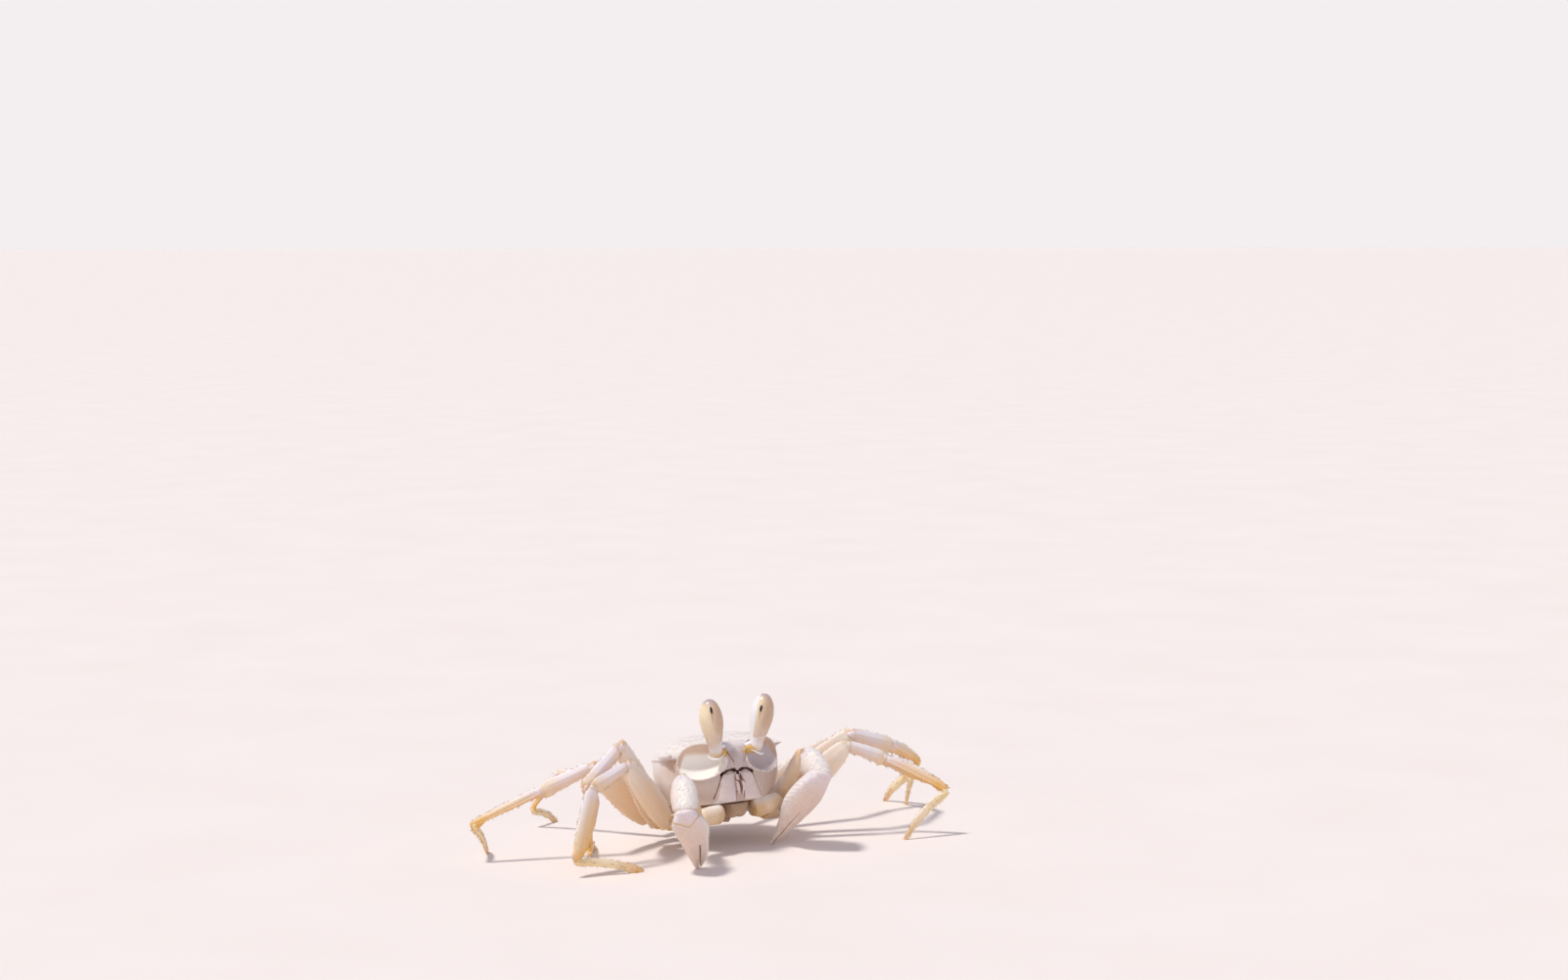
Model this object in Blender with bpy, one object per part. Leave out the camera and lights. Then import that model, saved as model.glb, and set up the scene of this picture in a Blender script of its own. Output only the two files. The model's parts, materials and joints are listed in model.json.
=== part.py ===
# Ghost crab, life size, standing still with its claw tips on the ground.
#
# Frame: +Z up, the face points along -Y, the crab's left side is +X.
# Sizes are drawn in millimetres for a shell DRAWN_WIDTH wide, and MM turns them
# into metres at the size that SHELL_WIDTH asks for.
# The whole crab hangs from the empty "crab", which is moved at the end so that
# the middle of the crab's box stands over the origin, with the feet on z = 0.

import math

import bmesh
import bpy
from mathutils import Matrix, Vector

# ---- driving dimensions -------------------------------------------------
SHELL_WIDTH = 23.0            # widest part of the carapace
DRAWN_WIDTH = 23.0            # width that all the sizes below are drawn for
MM = 0.001 * SHELL_WIDTH / DRAWN_WIDTH
GAP = 0.3                     # slit between neighbouring pieces

BODY_HEIGHT = 13.3            # middle of the body above the ground
BODY_PITCH = 10.0             # degrees, face tipped up
BODY_ROLL = -1.5              # degrees, crab's left side a little higher

SHELL_SIDES = 32              # points round one ring of the carapace
LEG_SIDES = 10
COXA_SIDES = 8
CLAW_SIDES = 12
STALK_SIDES = 12
CORNEA_SIDES = 16
ROSTRUM_SIDES = 10
TOOTH_SIDES = 8
CREASE_ANGLE = 40.0           # edges sharper than this are not shaded smooth
MITRE_LIMIT = 46.0            # steepest slant of a joint face, degrees
FOOT_RADIUS = 0.28            # half height of a leg's tip where it is cut flat

# Carapace rings from the back to the face: place along Y, half width, height of
# the back and depth of the flank, both from the body's middle level.
SHELL_RINGS = (
    (10.8, 3.4, 1.2, 2.2),
    (9.8, 5.3, 3.2, 4.0),
    (7.6, 7.0, 4.7, 5.6),
    (4.2, 9.3, 5.6, 6.5),
    (0.6, 11.1, 5.9, 6.9),
    (-2.8, 11.4, 5.8, 7.0),
    (-5.2, 10.4, 5.5, 6.9),
    (-6.6, 9.5, 5.3, 6.7),
    (-7.8, 8.5, 5.1, 6.5),
    (-8.8, 6.9, 4.7, 6.3),
    (-9.6, 4.8, 4.3, 6.1),
    (-10.0, 2.4, 3.9, 5.9),
)
SHELL_FLOOR = -6.0            # the carapace is cut off flat below this level
RIM_SHARE = 0.4               # level of a ring's widest line, as a part of its top
# Exponents below 1 make a ring squarer than an ellipse, across and upwards. The
# flank is also deepened, and swells halfway down by a part of its half width.
BACK_SHAPE = {"across": 0.85, "up": 0.94}
FLANK_SHAPE = {"across": 0.64, "up": 0.95, "deepen": 1.12, "swell": 0.05}

ORBIT = {"centre": (6.9, -9.9, 1.9), "half": (4.6, 4.3, 3.0)}
STALK_SOCKET = {"centre": (3.6, -9.9, 2.7), "radius": 1.7}
ROSTRUM = {"half_width": 1.6, "narrowing": 0.25, "half_thick": 0.95, "steps": 5,
           "root": (-8.2, 3.3), "reach": 2.1, "drop": 3.2}
# sections: place from base to tip, and size there as a part of the radius.
TOOTH = {"base": (10.3, -3.9, 2.9), "tip": (11.3, -5.9, 3.0), "radius": 1.2, "flatness": 0.6,
         "sections": ((0.0, 1.0), (0.55, 0.6), (1.0, 0.2))}

# Stern plate under the body: place along Y, half width, depth below the shell.
STERNUM_RINGS = (
    (-9.6, 1.6, 1.5),
    (-8.6, 2.0, 2.4),
    (-6.4, 2.4, 2.6),
    (-4.6, 4.6, 2.3),
    (-1.0, 5.6, 2.1),
    (3.0, 5.2, 1.9),
    (6.6, 3.8, 1.6),
    (8.6, 2.4, 1.2),
)
# Outline of the stern plate: part of the half width, part of the depth.
STERNUM_OUTLINE = ((-1.0, 0.0), (-1.0, 0.55), (-0.75, 0.9), (0.0, 1.0),
                   (0.75, 0.9), (1.0, 0.55), (1.0, 0.0))
ABDOMEN = {"front": -4.0, "back": 9.4, "front_half": 0.9, "back_half": 2.3, "thick": 0.9,
           "keel": 0.2, "steps": 7, "widening": 0.8}

MAXILLIPED = {"top": -0.8, "bottom": -5.9, "inner": 0.25, "top_outer": 2.6,
              "bottom_outer": 4.8, "thick": 1.0, "proud": 0.5, "steps": 6,
              "top_round": 0.5, "widening": 0.8,
              "bulge": ((0.0, 0.2), (0.15, 0.85), (0.5, 1.0), (0.85, 0.85), (1.0, 0.2))}
# The face round the mouth: its front, and how it bends back to the sides and down.
FACE = {"front": -10.0, "sideways": 0.05, "downways": 0.01, "middle": -3.0}

# The eye stands on a stem; above it, a slanting cut parts the stalk's strip
# from the cornea over the height "run". The outward lean is given right, left.
EYE = {"base": (3.8, -10.2, 2.5), "lean_out": (7.5, 13.0), "lean_front": 10.0,
       "stem_radius": 1.15, "stem_length": 2.0, "length": 10.0, "radius": 2.05, "widest": 6.4,
       "foot": 0.8, "foot_share": 0.8, "blunt": 0.02,
       "cut_azimuth": -33.0, "cut_offset": -0.72, "run": 1.2}
STALK_LEVELS = (0.12, 0.25, 0.4, 0.55, 0.7, 0.85, 0.95, 1.0)
CORNEA_LEVELS = (0.0, 0.12, 0.28, 0.44, 0.6, 0.74, 0.86, 0.95, 1.0)

# Walking legs, front to back. Lengths of merus, carpus and propodus; hip is the
# start of the merus; height and blade are the greatest height of the merus and
# the swelling of the propodus, as parts of the merus length.
LEGS = {
    "1": {"lengths": (17.0, 7.5, 12.5), "hip": (10.6, -4.6, 5.2), "height": 0.29,
          "blade": 0.085},
    "2": {"lengths": (19.6, 9.0, 13.2), "hip": (11.0, -0.8, 5.0), "height": 0.285,
          "blade": 0.05},
    "3": {"lengths": (18.0, 9.2, 13.2), "hip": (10.6, 3.0, 5.0), "height": 0.32,
          "blade": 0.02},
    "4": {"lengths": (12.5, 6.8, 9.2), "hip": (8.6, 6.8, 5.2), "height": 0.28,
          "blade": 0.04},
}
# Sections of a leg as parts of the merus length: height at each end, swelling
# between them, where it is greatest, and thickness. LEGS gives the merus and
# propodus their swelling, and FOOT_RADIUS the dactylus its point.
LEG_STATIONS = (0.0, 0.07, 0.25, 0.45, 0.68, 0.93, 1.0)
LEG_SECTIONS = {
    "merus": {"start": 0.16, "end": 0.165, "bulge": 0.0, "peak": 0.40, "thick": 0.105},
    "carpus": {"start": 0.125, "end": 0.155, "bulge": 0.02, "peak": 0.6, "thick": 0.085},
    "propodus": {"start": 0.135, "end": 0.10, "bulge": 0.0, "peak": 0.42, "thick": 0.08},
    "dactylus": {"start": 0.095, "end": 0.0, "bulge": 0.03, "peak": 0.3, "thick": 0.06},
}
LEG_END_SHARE = 0.84          # a segment draws in this much at a joint
EDGE_SHARE = 0.8              # thickness at the ends, as a part of the middle's
TIP_THINNING = 0.55           # a dactylus loses this much thickness to its point
TIP_BOW = 0.04                # rise of a dactylus, as a part of the merus length

# A coxa runs from the hip inwards along "slope", whose middle figure is a part
# of the hip's Y; its halves are parts of the merus length.
COXA = {"length": 3.4, "slope": (3.2, 0.25, 0.7), "half_height": 0.078, "half_thick": 0.07,
        "root_swell": 0.3}

# Pose: (azimuth, elevation) of each segment in degrees, azimuth from +X
# towards +Y. The dactylus runs on until it meets the ground.
LEG_POSE = {
    "right": {
        "1": ((-152, 44), (-165, -20), (-155, -70), (-9, -15)),
        "2": ((-146, 49), (-172, -43), (62, -66), (62, -12)),
        "3": ((-160, 36), (163, -24), (165, -24), (51, -40)),
        "4": ((140, 27), (130, -5), (120, -50), (25, -28)),
    },
    "left": {
        "1": ((-20, 41), (-10, -22), (-32, -26), (178, -44)),
        "2": ((-21, 40), (5, -18), (35, -22), (75, -51)),
        "3": ((2, 31), (20, -13), (5, -26), (112, -44)),
        "4": ((40, 30), (50, -8), (60, -50), (150, -28)),
    },
}
# Claws: start of the ischium, then azimuth, elevation and length of ischium,
# merus, carpus and hand. The hand's fixed finger runs on to the ground.
CLAWS = {
    "right": {"start": (-2.8, -9.6, 7.0), "height": 6.3, "roll": 8,
              "pose": ((-166, -1, 5.8), (-133, 45, 11.4), (-110, -40, 6.6), (43, -61))},
    "left": {"start": (3.6, -9.0, 7.0), "height": 6.9, "roll": -12,
             "pose": ((6, 11, 6.5), (-51, 63, 9.1), (-84, -36, 5.6), (120, -53))},
}
CLAW_SECTIONS = {
    "ischium": {"start": 3.2, "end": 2.8, "bulge": 0.2, "peak": 0.5, "thick": 2.8},
    "merus": {"start": 2.5, "end": 2.7, "bulge": 0.9, "peak": 0.5, "thick": 2.8},
    "carpus": {"start": 2.7, "end": 3.0, "bulge": 1.8, "peak": 0.5, "thick": 3.8},
}
CLAW_STATIONS = (0.0, 0.07, 0.3, 0.55, 0.8, 0.94, 1.0)
CLAW_END_SHARE = 0.86

# The hand is drawn closed, as one leaf shape: half height at the wrist and at
# its peak as parts of the height, thickness, and half height of the tips in mm.
# "split" is where the fingers part, and "grip" how far the gap lies off centre.
HAND = {"peak": 0.34, "wrist": 0.24, "gain": 0.26, "droop": 1.5, "thick": 0.50, "tip": 0.62,
        "wrist_width": 0.6, "width_droop": 1.3, "tip_half_width": 0.3, "split": 0.46, "grip": 0.07,
        "wrist_room": 1.4, "lean": 0.25}
PALM_STATIONS = (0.0, 0.06, 0.16, 0.3, 0.4)
FIXED_FINGER = {"stations": (0.49, 0.6, 0.72, 0.84, 0.94, 1.0), "width": 0.9}
FREE_FINGER = {"start": 0.52, "stations": (0.0, 0.1, 0.3, 0.5, 0.7, 0.86, 1.0), "width": 0.85,
               "lift": 0.25}

# ---- finishes -----------------------------------------------------------
FINISHES = {
    "shell": ((0.86, 0.80, 0.74), 0.42),
    "under": ((0.68, 0.56, 0.45), 0.48),
    "leg": ((0.85, 0.75, 0.60), 0.42),
    "leg_tip": ((0.78, 0.58, 0.28), 0.40),
    "claw": ((0.88, 0.84, 0.80), 0.40),
    "mouth": ((0.60, 0.52, 0.48), 0.45),
    "stalk": ((0.84, 0.82, 0.82), 0.35),
    "cornea": ((0.74, 0.60, 0.46), 0.22),
}


def finish(name):
    material = bpy.data.materials.get(name)
    if material:
        return material
    colour, roughness = FINISHES[name]
    material = bpy.data.materials.new(name)
    material.use_nodes = True
    shader = material.node_tree.nodes["Principled BSDF"]
    shader.inputs["Base Color"].default_value = (*colour, 1.0)
    shader.inputs["Roughness"].default_value = roughness
    shader.inputs["Metallic"].default_value = 0.0
    return material


def heading(azimuth, elevation):
    a = math.radians(azimuth)
    e = math.radians(elevation)
    return Vector((math.cos(e) * math.cos(a), math.cos(e) * math.sin(a), math.sin(e)))


def loft(name, rings, parent, material):
    """One closed body through rings of equal length, with fanned end caps."""
    mesh = bpy.data.meshes.new(name)
    grid = bmesh.new()
    rows = [[grid.verts.new(Vector(p) * MM) for p in ring] for ring in rings]
    count = len(rows[0])
    for row, following in zip(rows, rows[1:]):
        for i in range(count):
            j = (i + 1) % count
            grid.faces.new((row[i], row[j], following[j], following[i]))
    grid.faces.new(rows[0])
    grid.faces.new(rows[-1])
    bmesh.ops.triangulate(grid, faces=grid.faces[:])
    bmesh.ops.recalc_face_normals(grid, faces=grid.faces[:])
    if grid.calc_volume(signed=True) < 0.0:
        bmesh.ops.reverse_faces(grid, faces=grid.faces[:])
    grid.to_mesh(mesh)
    grid.free()
    mesh.materials.append(finish(material))
    mesh.shade_smooth()
    mesh.set_sharp_from_angle(angle=math.radians(CREASE_ANGLE))
    piece = bpy.data.objects.new(name, mesh)
    bpy.context.collection.objects.link(piece)
    piece.parent = parent
    return piece


def boolean(piece, cutter, operation):
    """Cut or join with the exact solver; the other body is only a guide."""
    cutter.hide_render = True
    cutter.display_type = "WIRE"
    modifier = piece.modifiers.new(cutter.name, "BOOLEAN")
    modifier.operation = operation
    modifier.solver = "EXACT"
    modifier.object = cutter


def ball(name, centre, half, parent, segments=15, rows=10):
    mesh = bpy.data.meshes.new(name)
    grid = bmesh.new()
    shape = Matrix.Translation(Vector(centre) * MM) @ Matrix.Diagonal((*(Vector(half) * MM), 1.0))
    bmesh.ops.create_uvsphere(grid, u_segments=segments, v_segments=rows, radius=1.0, matrix=shape)
    grid.to_mesh(mesh)
    grid.free()
    piece = bpy.data.objects.new(name, mesh)
    bpy.context.collection.objects.link(piece)
    piece.parent = parent
    return piece


# ---- body ---------------------------------------------------------------
def shell_ring(y, half_width, top, bottom):
    """Flattened arch above the rim, rounder flank below, cut level underneath."""
    ring = []
    rim = top * RIM_SHARE
    for i in range(SHELL_SIDES):
        angle = math.tau * i / SHELL_SIDES
        c = math.cos(angle)
        s = math.sin(angle)
        if s >= 0.0:
            x = half_width * math.copysign(abs(c) ** BACK_SHAPE["across"], c)
            z = rim + (top - rim) * s ** BACK_SHAPE["up"]
        else:
            x = half_width * math.copysign(abs(c) ** FLANK_SHAPE["across"], c)
            x *= 1.0 + FLANK_SHAPE["swell"] * math.sin(math.pi * abs(s))
            depth = (bottom + rim) * FLANK_SHAPE["deepen"] * abs(s) ** FLANK_SHAPE["up"]
            z = max(rim - depth, SHELL_FLOOR)
        ring.append((x, y, z))
    return ring


def make_rostrum(body):
    """The front: a tongue that bends down between the eyestalks."""
    rings = []
    root_y, root_z = ROSTRUM["root"]
    for step in range(ROSTRUM["steps"] + 1):
        t = step / ROSTRUM["steps"]
        bend = math.pi / 2 * min(t * 1.25, 1.0)
        half = ROSTRUM["half_width"] * (1.0 - ROSTRUM["narrowing"] * t)
        y = root_y - ROSTRUM["reach"] * math.sin(bend)
        z = root_z - ROSTRUM["drop"] * t ** 1.5
        ring = []
        for i in range(ROSTRUM_SIDES):
            angle = math.tau * i / ROSTRUM_SIDES
            up = math.sin(angle) * ROSTRUM["half_thick"]
            ring.append((math.cos(angle) * half, y - up * math.sin(bend), z + up * math.cos(bend)))
        rings.append(ring)
    return loft("rostrum_guide", rings, body, "shell")


def make_tooth(side, body):
    """The sharp outer corner of an eye socket."""
    base = Vector(TOOTH["base"])
    tip = Vector(TOOTH["tip"])
    base.x *= side
    tip.x *= side
    axis = (tip - base).normalized()
    across = axis.cross(Vector((0, 0, 1))).normalized()
    up = across.cross(axis)
    rings = []
    for t, size in TOOTH["sections"]:
        ring = []
        for i in range(TOOTH_SIDES):
            angle = math.tau * i / TOOTH_SIDES
            reach = TOOTH["radius"] * size
            ring.append(base.lerp(tip, t) + across * math.cos(angle) * reach
                        + up * math.sin(angle) * reach * TOOTH["flatness"])
        rings.append(ring)
    return loft("tooth_guide", rings, body, "shell")


def make_carapace(body):
    shell = loft("carapace", [shell_ring(*row) for row in SHELL_RINGS], body, "shell")
    for side in (-1, 1):
        x, y, z = ORBIT["centre"]
        orbit = ball("orbit_guide", (side * x, y, z), ORBIT["half"], body)
        boolean(shell, orbit, "DIFFERENCE")
        x, y, z = STALK_SOCKET["centre"]
        radius = STALK_SOCKET["radius"]
        socket = ball("socket_guide", (side * x, y, z), (radius,) * 3, body, 12, 8)
        boolean(shell, socket, "DIFFERENCE")
        boolean(shell, make_tooth(side, body), "UNION")
    boolean(shell, make_rostrum(body), "UNION")
    return shell


def make_sternum(body):
    rings = []
    top = SHELL_FLOOR - GAP
    for y, half, depth in STERNUM_RINGS:
        rings.append([(u * half, y, top - v * depth) for u, v in STERNUM_OUTLINE])
    return loft("sternum", rings, body, "under")


def sternum_depth(y):
    rows = STERNUM_RINGS
    for (y0, _, d0), (y1, _, d1) in zip(rows, rows[1:]):
        if y0 <= y <= y1:
            return d0 + (d1 - d0) * (y - y0) / (y1 - y0)
    return rows[-1][2]


def make_abdomen(body):
    """The narrow tail plate folded forward under the sternum."""
    rings = []
    for i in range(ABDOMEN["steps"] + 1):
        t = i / ABDOMEN["steps"]
        y = ABDOMEN["front"] + (ABDOMEN["back"] - ABDOMEN["front"]) * t
        spread = ABDOMEN["back_half"] - ABDOMEN["front_half"]
        half = ABDOMEN["front_half"] + spread * t ** ABDOMEN["widening"]
        top = SHELL_FLOOR - GAP * 2 - sternum_depth(y)
        low = top - ABDOMEN["thick"]
        edge = low + ABDOMEN["keel"]
        rings.append([(-half, y, top), (-0.8 * half, y, edge), (0.0, y, low),
                      (0.8 * half, y, edge), (half, y, top)])
    loft("abdomen", rings, body, "under")


def face_front(x, z):
    """Place along Y of the face round the mouth."""
    down = z - FACE["middle"]
    return FACE["front"] + FACE["sideways"] * x * x + FACE["downways"] * down * down


def make_maxilliped(side, name, body, grow=0.0):
    """One of the two plates that close the mouth; grow makes its seat."""
    rings = []
    steps = MAXILLIPED["steps"]
    for i in range(steps + 1):
        t = i / steps
        z = MAXILLIPED["top"] + (MAXILLIPED["bottom"] - MAXILLIPED["top"]) * t
        z += grow * (1.0 - 2.0 * t)
        spread = MAXILLIPED["bottom_outer"] - MAXILLIPED["top_outer"]
        outer = MAXILLIPED["top_outer"] + spread * t ** MAXILLIPED["widening"] + grow
        if i == 0:
            outer -= MAXILLIPED["top_round"]
        inner = MAXILLIPED["inner"] - grow
        proud = (MAXILLIPED["proud"] + grow) * (0.5 if i in (0, steps) else 1.0)
        back = MAXILLIPED["thick"] - MAXILLIPED["proud"] + grow
        ring = []
        for u, out in MAXILLIPED["bulge"]:
            x = inner + (outer - inner) * u
            ring.append((side * x, face_front(x, z) - proud * out, z))
        for u in (1.0, 0.5, 0.0):
            x = inner + (outer - inner) * u
            ring.append((side * x, face_front(x, z) + back, z))
        rings.append(ring)
    return loft(name, rings, body, "mouth")


def make_eye(side, suffix, body):
    """Club-shaped eye: a stalk with a strip up its back, and the cornea before it."""
    length = EYE["length"]
    stem = EYE["stem_length"]
    holder = bpy.data.objects.new("eye_" + suffix, None)
    bpy.context.collection.objects.link(holder)
    holder.parent = body
    x, y, z = EYE["base"]
    holder.location = Vector((side * x, y, z)) * MM
    lean_out = EYE["lean_out"][0 if side < 0 else 1]
    holder.rotation_euler = (math.radians(EYE["lean_front"]), math.radians(side * lean_out), 0)

    def radius(h):
        low, high, foot, widest = EYE["stem_radius"], EYE["radius"], EYE["foot"], EYE["widest"]
        if h < widest:
            t = min(max((h - foot) / (widest - foot), 0.0), 1.0)
            share = EYE["foot_share"] + (1.0 - EYE["foot_share"]) * min(h / foot, 1.0)
            return low * share + (high - low) * t * t * (3.0 - 2.0 * t)
        t = (h - widest) / (length - widest)
        return high * math.sqrt(max(1.0 - t * t, EYE["blunt"]))

    def cut_place(h):
        """How far from the eye's middle line the cut lies at height h."""
        return EYE["cut_offset"] * radius(h) / EYE["radius"]

    normal = heading(EYE["cut_azimuth"], 0)
    normal.x *= side
    across = Vector((0, 0, 1)).cross(normal)

    strip = []
    for h in [0.0, EYE["foot"], stem] + [stem + (length - stem) * k for k in STALK_LEVELS]:
        r = radius(h)
        share = min(max((h - stem) / EYE["run"], 0.0), 1.0)
        limit = r + (cut_place(h) - GAP / 2 - r) * share
        ring = []
        for i in range(STALK_SIDES):
            angle = math.tau * i / STALK_SIDES
            forward = min(math.cos(angle) * r, limit)
            ring.append(normal * forward + across * math.sin(angle) * r + Vector((0, 0, h)))
        strip.append(ring)
    loft("eyestalk_" + suffix, strip, holder, "stalk")

    cap = []
    start = stem + EYE["run"] + GAP
    for h in [start + (length - start) * k for k in CORNEA_LEVELS]:
        r = radius(h)
        limit = cut_place(h) + GAP / 2
        ring = []
        for i in range(CORNEA_SIDES):
            angle = math.tau * i / CORNEA_SIDES
            forward = max(math.cos(angle) * r, limit)
            ring.append(normal * forward + across * math.sin(angle) * r + Vector((0, 0, h)))
        cap.append(ring)
    loft("cornea_" + suffix, cap, holder, "cornea")


# ---- limbs --------------------------------------------------------------
def joint_normal(before, after):
    """Normal of the joint face between two headings, and the room it needs."""
    half = before.angle(after) / 2
    limit = math.radians(MITRE_LIMIT)
    middle = (before + after).normalized()
    if half <= limit:
        return middle, middle, 0.0
    share = limit / half
    room = math.tan(half) - math.tan(limit)
    return before.slerp(middle, share), after.slerp(middle, share), room


def swell(t, start, end, bulge, peak):
    """Half size along a segment: a straight taper with a rounded swelling."""
    skew = math.log(0.5) / math.log(peak)
    return start + (end - start) * t + bulge * math.sin(math.pi * t ** skew)


def limb(name, start, direction, length, faces, shape, sides, stations, material, crab):
    """A flattened segment between two slanted joint faces.

    faces: normals at the two ends, or None at the far end for the ground.
    shape(t): upper and lower half height and half thickness at t.
    """
    side = direction.cross(Vector((0, 0, 1))).normalized()
    up = side.cross(direction)
    near, far = faces
    rings = []
    for t in stations:
        high, low, wide = shape["size"](t)
        middle = (high - low) / 2 + shape.get("bow", 0.0) * 4 * t * (1 - t)
        half = (high + low) / 2
        ring = []
        for i in range(sides):
            angle = math.tau * i / sides
            offset = up * (middle + half * math.sin(angle)) + side * wide * math.cos(angle)
            first = (shape["near_gap"] - offset.dot(near)) / direction.dot(near)
            if far is None:
                last = -(start.z + offset.z) / direction.z
            else:
                last = length - (shape["far_gap"] + offset.dot(far)) / direction.dot(far)
            ring.append(direction * (first + (last - first) * t) + offset)
        rings.append(ring)
    piece = loft(name, rings, crab, material)
    piece.location = start * MM
    return piece


def leg_sections(number):
    """The sections of one leg, with its own merus, propodus and point."""
    leg = LEGS[number]
    sections = {name: dict(values) for name, values in LEG_SECTIONS.items()}
    sections["merus"]["bulge"] = leg["height"] - sections["merus"]["start"]
    sections["propodus"]["bulge"] = leg["blade"]
    sections["dactylus"]["end"] = 2 * FOOT_RADIUS / leg["lengths"][0]
    return sections


def coxa_inward(sign, leg):
    """Heading from the hip towards the middle of the body."""
    along, share, up = COXA["slope"]
    return Vector((-sign * along, share * leg["hip"][1], up)).normalized()


def make_coxa(name, sign, leg, heading_out, crab, grow=0.0):
    """Stout base of a leg, from under the shell's edge to the merus."""
    x, y, z = leg["hip"]
    size = leg["lengths"][0]
    hip = Vector((sign * x, y, z))
    inward = coxa_inward(sign, leg)
    before = joint_normal(-inward, heading_out)[0]
    length = COXA["length"]

    def measure(t):
        extra = COXA["root_swell"] * (1.0 - t) + grow
        half = COXA["half_height"] * size + extra
        return half, half, COXA["half_thick"] * size + extra

    shape = {"near_gap": -grow, "far_gap": GAP / 2 - grow, "size": measure}
    return limb(name, hip + inward * length, -inward, length, (-inward, before),
                shape, COXA_SIDES, (0.0, 0.5, 1.0), "leg", crab)


def make_leg(side, number, crab, seats):
    sign = -1 if side == "right" else 1
    leg = LEGS[number]
    size = leg["lengths"][0]
    x, y, z = leg["hip"]
    at = Vector((sign * x, y, z))
    headings = [heading(*pose) for pose in LEG_POSE[side][number]]
    prefix = "leg%s_%s_" % (number, side)

    make_coxa(prefix + "coxa", sign, leg, headings[0], crab)
    seats.append(make_coxa("coxa_guide", sign, leg, headings[0], crab, GAP))
    _, near, room = joint_normal(-coxa_inward(sign, leg), headings[0])
    sections = leg_sections(number)
    for k, (segment, s) in enumerate(sections.items()):
        last = segment == "dactylus"
        far, following, room_after = (None, None, 0.0)
        if not last:
            far, following, room_after = joint_normal(headings[k], headings[k + 1])

        def measure(t, s=s, last=last):
            ends = LEG_END_SHARE if t == 0.0 or (t == 1.0 and not last) else 1.0
            half = swell(t, s["start"], s["end"], s["bulge"], s["peak"]) * size / 2 * ends
            thick = s["thick"] * size / 2 * ends
            if last:
                thick *= 1.0 - TIP_THINNING * t
            thick *= EDGE_SHARE + (1.0 - EDGE_SHARE) * math.sin(math.pi * t)
            return half, half, max(thick, FOOT_RADIUS)

        shape = {"size": measure,
                 "near_gap": GAP / 2 + room * s["start"] * size / 2,
                 "far_gap": GAP / 2 + room_after * s["end"] * size / 2,
                 "bow": TIP_BOW * size if last else 0.0}
        length = leg["lengths"][k] if not last else 0.0
        limb(prefix + segment, at, headings[k], length, (near, far), shape, LEG_SIDES,
             LEG_STATIONS, "leg_tip" if last else "leg", crab)
        at = at + headings[k] * length
        near = following
        room = room_after


def make_claw(side, crab, seats):
    sign = -1 if side == "right" else 1
    claw = CLAWS[side]
    at = Vector(claw["start"])
    headings = [heading(*pose[:2]) for pose in claw["pose"]]
    near = headings[0]
    room = 0.0
    for k, (segment, s) in enumerate(CLAW_SECTIONS.items()):
        far, following, room_after = joint_normal(headings[k], headings[k + 1])

        def measure(t, s=s, grow=0.0):
            ends = CLAW_END_SHARE if t in (0.0, 1.0) else 1.0
            half = swell(t, s["start"], s["end"], s["bulge"], s["peak"]) / 2 * ends + grow
            edge = EDGE_SHARE + (1.0 - EDGE_SHARE) * math.sin(math.pi * t)
            return half, half, s["thick"] / 2 * edge * ends + grow

        shape = {"size": measure, "near_gap": GAP / 2 + room * s["start"] / 2,
                 "far_gap": GAP / 2 + room_after * s["end"] / 2}
        length = claw["pose"][k][2]
        limb("claw_%s_%s" % (side, segment), at, headings[k], length, (near, far), shape,
             CLAW_SIDES, CLAW_STATIONS, "claw", crab)
        if segment == "ischium":
            seat = {"size": lambda t: measure(t, grow=GAP), "near_gap": -GAP, "far_gap": 0.0}
            seats.append(limb("ischium_guide", at, headings[k], length, (near, far), seat,
                              CLAW_SIDES, CLAW_STATIONS, "claw", crab))
        at = at + headings[k] * length
        near = following
        room = room_after
    make_hand(side, sign, at, headings[3], near, room, claw, crab)


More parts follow.
